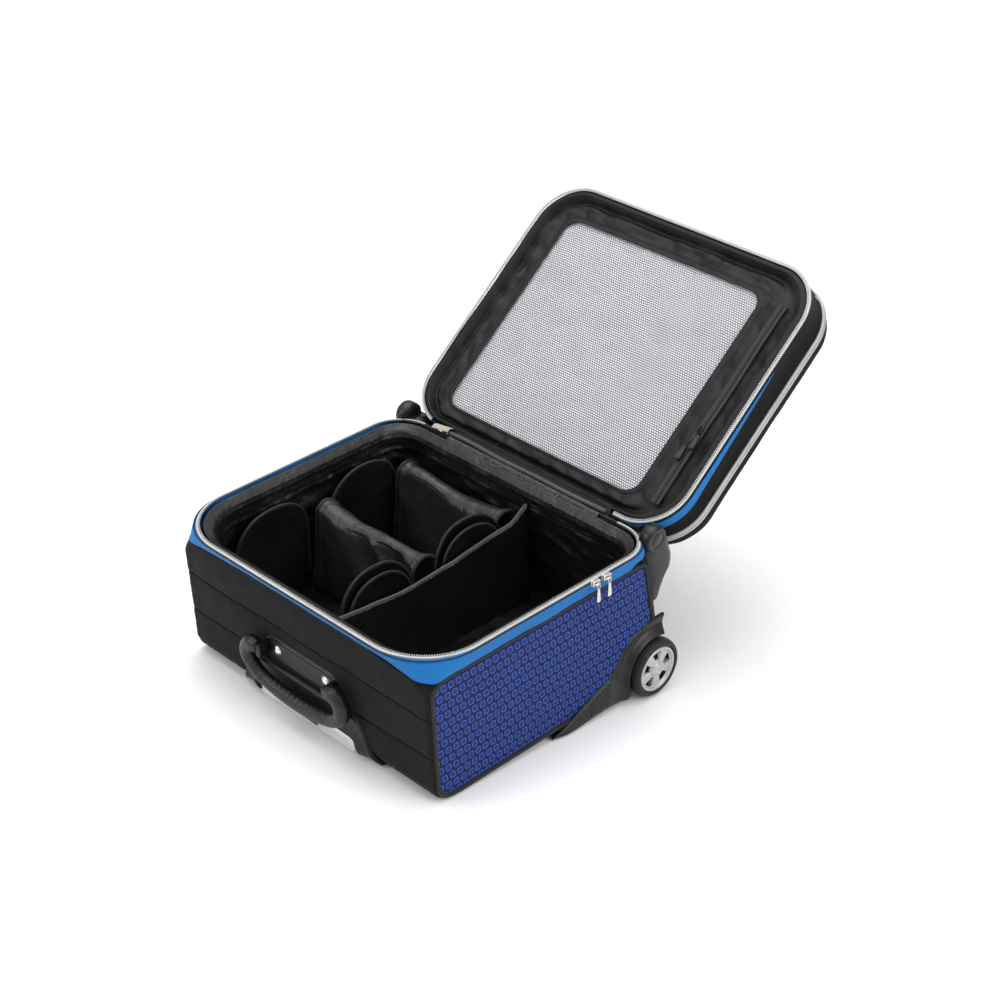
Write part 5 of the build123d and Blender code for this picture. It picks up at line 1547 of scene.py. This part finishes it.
def buildHousings():
    # one strip from the runner's front tip to the top of the arch; rows go from the outline to the tyre's edge
    count = 340
    top = resample(smoothCurve(np.array(fender["top"]) / 1000, 3), count)
    low = smoothCurve(np.array(fender["low"]) / 1000, 3)
    radius = fender["arch"]
    first = math.atan2(low[-1][1], low[-1][0]) % math.tau
    last = math.radians(67)
    turn = np.linspace(first, last, 60)
    arch = np.stack([radius * np.cos(turn), radius * np.sin(turn)], -1)
    bottom = np.concatenate([low, arch], 0)
    # match the two edges by length, with the runner's share kept the same on both
    bottom = np.concatenate([resample(low, int(count * 0.52)), resample(arch, count - int(count * 0.52) + 1)[1:]], 0)
    topShare = np.concatenate([np.linspace(0, 0.50, int(count * 0.52)),
                               np.linspace(0.50, 1, count - int(count * 0.52) + 1)[1:]])
    length = along(top)
    top = np.stack([np.interp(topShare * length[-1], length, top[:, i]) for i in range(2)], -1)
    t = np.linspace(0, 1, count)
    onArch = smoothStep(0.46, 0.56, t)
    rise = smoothStep(0.0, 0.10, t)
    share = np.array([0, 0.0, 0.02, 0.06, 0.12, 0.22, 0.34, 0.46, 0.58, 0.70, 0.80, 0.88, 0.94, 0.98, 1.0])
    archLift = np.array([-1.0, 0.6, 2.0, 2.9, 3.2, 3.0, 3.0, 3.6, 5.2, 7.6, 9.8, 11.2, 12.0, 12.0, 11.2]) / 1000
    runLift = np.array([-1.0, 0.6, 2.6, 4.2, 4.9, 5.2, 5.4, 5.6, 5.8, 6.0, 6.0, 6.0, 5.9, 5.4, 4.2]) / 1000
    lift = archLift[:, None] * onArch + runLift[:, None] * (1 - onArch) * (0.45 + 0.55 * rise)
    back = top[None, :, 0] * (1 - share[:, None]) + bottom[None, :, 0] * share[:, None]
    up = top[None, :, 1] * (1 - share[:, None]) + bottom[None, :, 1] * share[:, None]
    ribPlace = (back + 0.102) / 0.0052
    inRibs = (ribPlace > 0) & (ribPlace < fender["ribs"]) & (share[:, None] > 0.10) & (share[:, None] < 0.82)
    lift = lift + 0.0013 * inRibs * (np.sin(ribPlace * math.tau) > 0) * (1 - onArch)
    for sideName, side in (("left", -1), ("right", 1)):
        y, z = wheel["y"] + back, wheel["z"] + up
        x = bag["halfWidth"] + lift
        # turned-in edge: into the arch beside the tyre, and under the bag along the runner
        inX = np.stack([x[-1] - 0.004, x[-1] * 0.5 + 0.5 * 0.205,
                        0.2045 * onArch + 0.186 * (1 - onArch), 0.2040 * onArch + 0.184 * (1 - onArch)])
        inY = np.stack([y[-1]] * 4)
        under = np.minimum(z[-1] + 0.0095, -0.0004) * (1 - onArch) + z[-1] * onArch
        inZ = np.stack([z[-1], z[-1], z[-1] + 0.0005, under])
        points = np.stack([np.concatenate([x, inX]), np.concatenate([y, inY]), np.concatenate([z, inZ])], -1)
        points[..., 0] *= side
        piece = gridPiece(f"wheelHousing.{sideName}", points, finishes["housing"], "case", gridUv(points),
                          flip=side < 0)
        weld(piece)
        wall = piece.modifiers.new("wall", "SOLIDIFY")
        wall.thickness = 0.0018
        wall.offset = -1
        # dished cup behind the wheel
        profile = [(0.0, 0.2035), (0.010, 0.2035), (0.012, 0.2045), (0.030, 0.2045), (0.044, 0.2038),
                   (0.0458, 0.2048), (0.0470, 0.2070), (0.0475, 0.2106), (0.0488, 0.2108)]
        cup = lathePoints([(r, a) for r, a in profile], (0, wheel["y"], wheel["z"]), side, 120)
        faces = np.array(gridFaces(*cup.shape[:2], False, True, flip=side < 0))
        centre = cup.reshape(-1, 3)[faces].mean(1)
        inside = (centre[:, 2] > -0.0035) & (centre[:, 1] < backLine(np.maximum(centre[:, 2], 0)) + 0.004)
        cupPiece = addPiece(f"wheelWell.{sideName}", cup, faces[inside].tolist(), finishes["housing"], "case",
                            gridUv(cup))
        weld(cupPiece)
        wall = cupPiece.modifiers.new("wall", "SOLIDIFY")
        wall.thickness = 0.0012
        wall.offset = -1
        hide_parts(f"wheel_housing_{sideName}")


foot = {"inner": 0.180, "headRadius": 0.0165, "headInner": 0.1985, "headOuter": 0.2148}


def buildFeet():
    # stacked rounded sections that swell out to the standing pad, and a round head on the hinge line
    height = np.linspace(0, 1, 40)
    levels = [0.098, 0.104, 0.118, 0.132, 0.142, 0.150, 0.158, 0.170, 0.182, 0.189]
    reach = [0.1700, 0.1760, 0.1775, 0.1850, 0.1945, 0.1960, 0.1958, 0.1915, 0.1870, 0.1800]
    flare = [0.2070, 0.2105, 0.2130, 0.2140, 0.2140, 0.2140, 0.2140, 0.2140, 0.2135, 0.2100]
    z = np.interp(height, np.linspace(0, 1, len(levels)), levels)
    outerY = np.interp(z, levels, reach)
    outerX = np.interp(z, levels, flare)
    innerY = backLine(z) - 0.006
    angle = np.arange(48) / 48 * math.tau
    power = 0.55
    cx, cy = (foot["inner"] + outerX) / 2, (innerY + outerY) / 2
    hx, hy = (outerX - foot["inner"]) / 2, (outerY - innerY) / 2
    for sideName, side in (("left", -1), ("right", 1)):
        x = cx[:, None] + hx[:, None] * np.sign(np.cos(angle)) * np.abs(np.cos(angle)) ** power
        y = cy[:, None] + hy[:, None] * np.sign(np.sin(angle)) * np.abs(np.sin(angle)) ** power
        zs = np.broadcast_to(z[:, None], x.shape)
        body = np.stack([side * x, y, zs], -1)
        ends = [body[:1].mean(1, keepdims=True) + 0 * body[:1], body[-1:].mean(1, keepdims=True) + 0 * body[-1:]]
        points = np.concatenate([ends[0], body, ends[1]], 0)
        piece = addPiece(f"standFoot.{sideName}", points, gridFaces(*points.shape[:2], False, True, flip=side < 0),
                         finishes["housing"], "case", gridUv(points))
        weld(piece)
        r = foot["headRadius"]
        low, high = foot["headInner"], foot["headOuter"]
        profile = [(0, low), (r - 0.002, low), (r, low + 0.002), (r, high - 0.0035), (r - 0.001, high - 0.0012),
                   (r - 0.003, high), (r - 0.006, high - 0.0002), (r - 0.0068, high - 0.0010),
                   (r - 0.0076, high - 0.0002), (0, high)]
        head = lathePoints(profile, (0, hinge["y"], hinge["z"] - 0.002), side, 72)
        cap = addPiece(f"standFootHead.{sideName}", head, gridFaces(*head.shape[:2], False, True, flip=side < 0),
                       finishes["housing"], "case", gridUv(head))
        weld(cap)
        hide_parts(f"stand_foot_{sideName}")


def sliderPiece(name, node, body, across, ahead, out, material):
    # zip slider: two rounded plates with a bridge over the upper one, built in its own three directions
    low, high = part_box(node)
    centre = (np.array(low) + np.array(high)) / 2
    across, ahead, out = (np.asarray(v, float) for v in (across, ahead, out))

    def place(a, b, c):
        return centre + a[..., None] * across + b[..., None] * ahead + c[..., None] * out

    pieces = []
    for base, height, half, reach in ((-0.0022, -0.0008, 0.0042, 0.0068), (0.0002, 0.0020, 0.0038, 0.0064)):
        points = slabPoints(half, -reach, reach, 0.0030, base, height, 0.0008)
        pieces.append(place(points[..., 0], points[..., 1], points[..., 2]))
    angle = np.linspace(0, math.pi, 14)
    path = place(0 * angle, -0.0042 * np.cos(angle), 0.0016 + 0.0028 * np.sin(angle))
    bridge = sweepPoints(path, [(-0.0011, -0.0006), (0.0011, -0.0006), (0.0011, 0.0006), (-0.0011, 0.0006)],
                         up=across + 0.001)
    points, faces, start = [], [], 0
    for block in (*pieces, bridge):
        faces += gridFaces(*block.shape[:2], False, True, start=start)
        if block is bridge:
            last = start + (len(bridge) - 1) * 4
            faces += [[start + i for i in (3, 2, 1, 0)], [last + i for i in range(4)]]
        points.append(block.reshape(-1, 3))
        start += block.shape[0] * block.shape[1]
    piece = addPiece(name, np.concatenate(points), faces, material, body)
    weld(piece)
    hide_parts(node)
    return piece


def pullPiece(name, node, body, down, out, material, length, width=0.0056):
    # pull tag: a small wire link, then a flat rounded tag with a thicker, ridged end
    low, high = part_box(node)
    centre = (np.array(low) + np.array(high)) / 2
    down, out = np.asarray(down, float), np.asarray(out, float)
    down, out = down / np.linalg.norm(down), out / np.linalg.norm(out)
    across = np.cross(down, out)
    top = centre - down * length / 2

    def place(a, b, c):
        return top + a[..., None] * across + b[..., None] * down + c[..., None] * out

    points = slabPoints(width / 2, length * 0.30, length, 0.0024, -0.0010, 0.0010, 0.0007)
    spine = np.clip((points[..., 1] / length - 0.45) / 0.4, 0, 1)
    points[..., 0] *= 0.72 + 0.36 * spine
    points[..., 2] *= 0.8 + 0.5 * spine + 0.12 * (np.sin(points[..., 1] * 2600) > 0) * (spine > 0.4)
    tag = place(points[..., 0], points[..., 1], points[..., 2])
    angle = np.arange(28) / 28 * math.tau
    ring = place(0.0020 * np.cos(angle), length * (0.19 + 0.15 * np.sin(angle)), 0 * angle)
    loop = sweepPoints(ring, circleProfile(0.0006, 6), closed=True, up=out)
    allPoints = np.concatenate([tag.reshape(-1, 3), loop.reshape(-1, 3)])
    faces = gridFaces(*tag.shape[:2], False, True)
    faces += gridFaces(*loop.shape[:2], True, True, start=tag.shape[0] * tag.shape[1])
    piece = addPiece(name, allPoints, faces, material, body)
    weld(piece)
    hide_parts(node)
    return piece


def buildSliders():
    for name in ("front", "back"):
        sliderPiece(f"mainSlider.{name}", f"main_slider_{name}", f"main_slider_{name}", (0, 0, 1), (0, 1, 0),
                    (1, 0, 0), finishes["zipMetal"])
        pullPiece(f"mainPull.{name}", f"main_pull_{name}", f"main_pull_{name}", (0, 0, -1), (1, 0, 0),
                  finishes["zipMetal"], 0.026)
    for name in ("lower", "upper"):
        sliderPiece(f"meshSlider.{name}", f"mesh_slider_{name}", f"mesh_slider_{name}", (1, 0, 0), lidUp, -lidOut,
                    finishes["moulding"])
        pullPiece(f"meshPull.{name}", f"mesh_pull_{name}", f"mesh_pull_{name}", -lidUp, -lidOut,
                  finishes["gripMoulding"], 0.027, 0.0074)
    sliderPiece("pocketSlider", "pocket_slider", "pocket_slider", lidOut, lidUp, (-1, 0, 0),
                finishes["zipMetal"])
    pullPiece("pocketPull", "pocket_pull", "pocket_pull", (0, 0, -1), (-1, 0, 0), finishes["zipMetal"],
              0.026)


def finishNodes():
    # CAD pieces whose shape is already right keep it and take a full material
    keeps = {
        "guide_tubes": "aluminium", "middle_tubes": "aluminium", "inner_tubes": "aluminium",
        "back_board": "board", "lid_board": "board", "handle_pins": "steel", "wheel_axles": "steel",
        "trolley_button": "gripMoulding",
    }
    for node, finish in keeps.items():
        piece = bpy.data.objects[node]
        piece.data.materials.clear()
        piece.data.materials.append(finishes[finish])


buildWrap()
buildSides()
buildMouth()
print("body shell done")
buildLining()
buildSaddles()
buildSleeves()
buildShoeDivider()
buildHinge()
buildZipTab()
print("inside done")
buildLid()
print("lid done")
buildCarryHandle()
buildBezel()
buildTrolleyGrip()
buildWheels()
buildHousings()
buildFeet()
buildSliders()
finishNodes()
print("hard parts done")

# the bag rests on its wheels and the edge of its handle end, so the floor leans a little against its back face
floorLean = math.radians(3.58)
floorDrop = wheel["z"] - wheel["radius"]


def buildStage():
    span = 6.0
    corners = np.array([(-span, -span), (span, -span), (span, span), (-span, span)])
    z = floorDrop - 0.0008 - (corners[:, 1] - wheel["y"]) * math.tan(floorLean)
    floor = addPiece("floor", np.column_stack([corners, z]), [[0, 1, 2, 3]], finishes["floor"])


light = {
    "world": 1.3,
    "sky": [(0.0, (0.34, 0.34, 0.35)), (0.35, (0.50, 0.50, 0.51)), (0.9, (1.0, 1.0, 1.0))],
    "lamps": {
        "over": {"at": (-0.5, 0.3, 2.6), "size": 2.6, "power": 46},
        "side": {"at": (2.4, 0.6, 1.6), "size": 1.8, "power": 26},
        "front": {"at": (-1.2, -2.4, 1.5), "size": 1.8, "power": 22},
    },
}
camera = {"aim": (-0.013, 0.134, 0.158), "azimuth": 45.1, "elevation": 31.6, "distance": 2.6, "lens": 77.1}


def buildLights():
    world = bpy.data.worlds.new("studio")
    bpy.context.scene.world = world
    world.use_nodes = True
    # brighter overhead than at the sides, so dark upright faces stay dark
    tree = world.node_tree
    texture, split = tree.nodes.new("ShaderNodeTexCoord"), tree.nodes.new("ShaderNodeSeparateXYZ")
    link(tree, texture.outputs["Object"], split.inputs[0])
    background = tree.nodes["Background"]
    link(tree, rampNode(tree, split.outputs[2], light["sky"]), background.inputs["Color"])
    background.inputs["Strength"].default_value = light["world"]
    aim = np.array([0, 0.05, 0.15])
    for name, lamp in light["lamps"].items():
        data = bpy.data.lights.new(name, "AREA")
        data.shape = "DISK"
        data.size = lamp["size"]
        data.energy = lamp["power"]
        holder = bpy.data.objects.new(name, data)
        bpy.context.scene.collection.objects.link(holder)
        holder.location = lamp["at"]
        direction = mathutils.Vector(aim - np.array(lamp["at"]))
        holder.rotation_euler = direction.to_track_quat("-Z", "Y").to_euler()


def buildCamera():
    azimuth, elevation = math.radians(camera["azimuth"]), math.radians(camera["elevation"])
    back = np.array([math.sin(azimuth) * math.cos(elevation), -math.cos(azimuth) * math.cos(elevation),
                     math.sin(elevation)])
    data = bpy.data.cameras.new("view")
    data.lens = camera["lens"]
    data.clip_end = 50
    holder = bpy.data.objects.new("view", data)
    bpy.context.scene.collection.objects.link(holder)
    holder.location = np.array(camera["aim"]) + back * camera["distance"]
    holder.rotation_euler = mathutils.Vector(-back).to_track_quat("-Z", "Y").to_euler()
    bpy.context.scene.camera = holder


buildStage()
buildLights()
buildCamera()
bpy.context.scene.view_settings.view_transform = "Standard"
print("stage done")
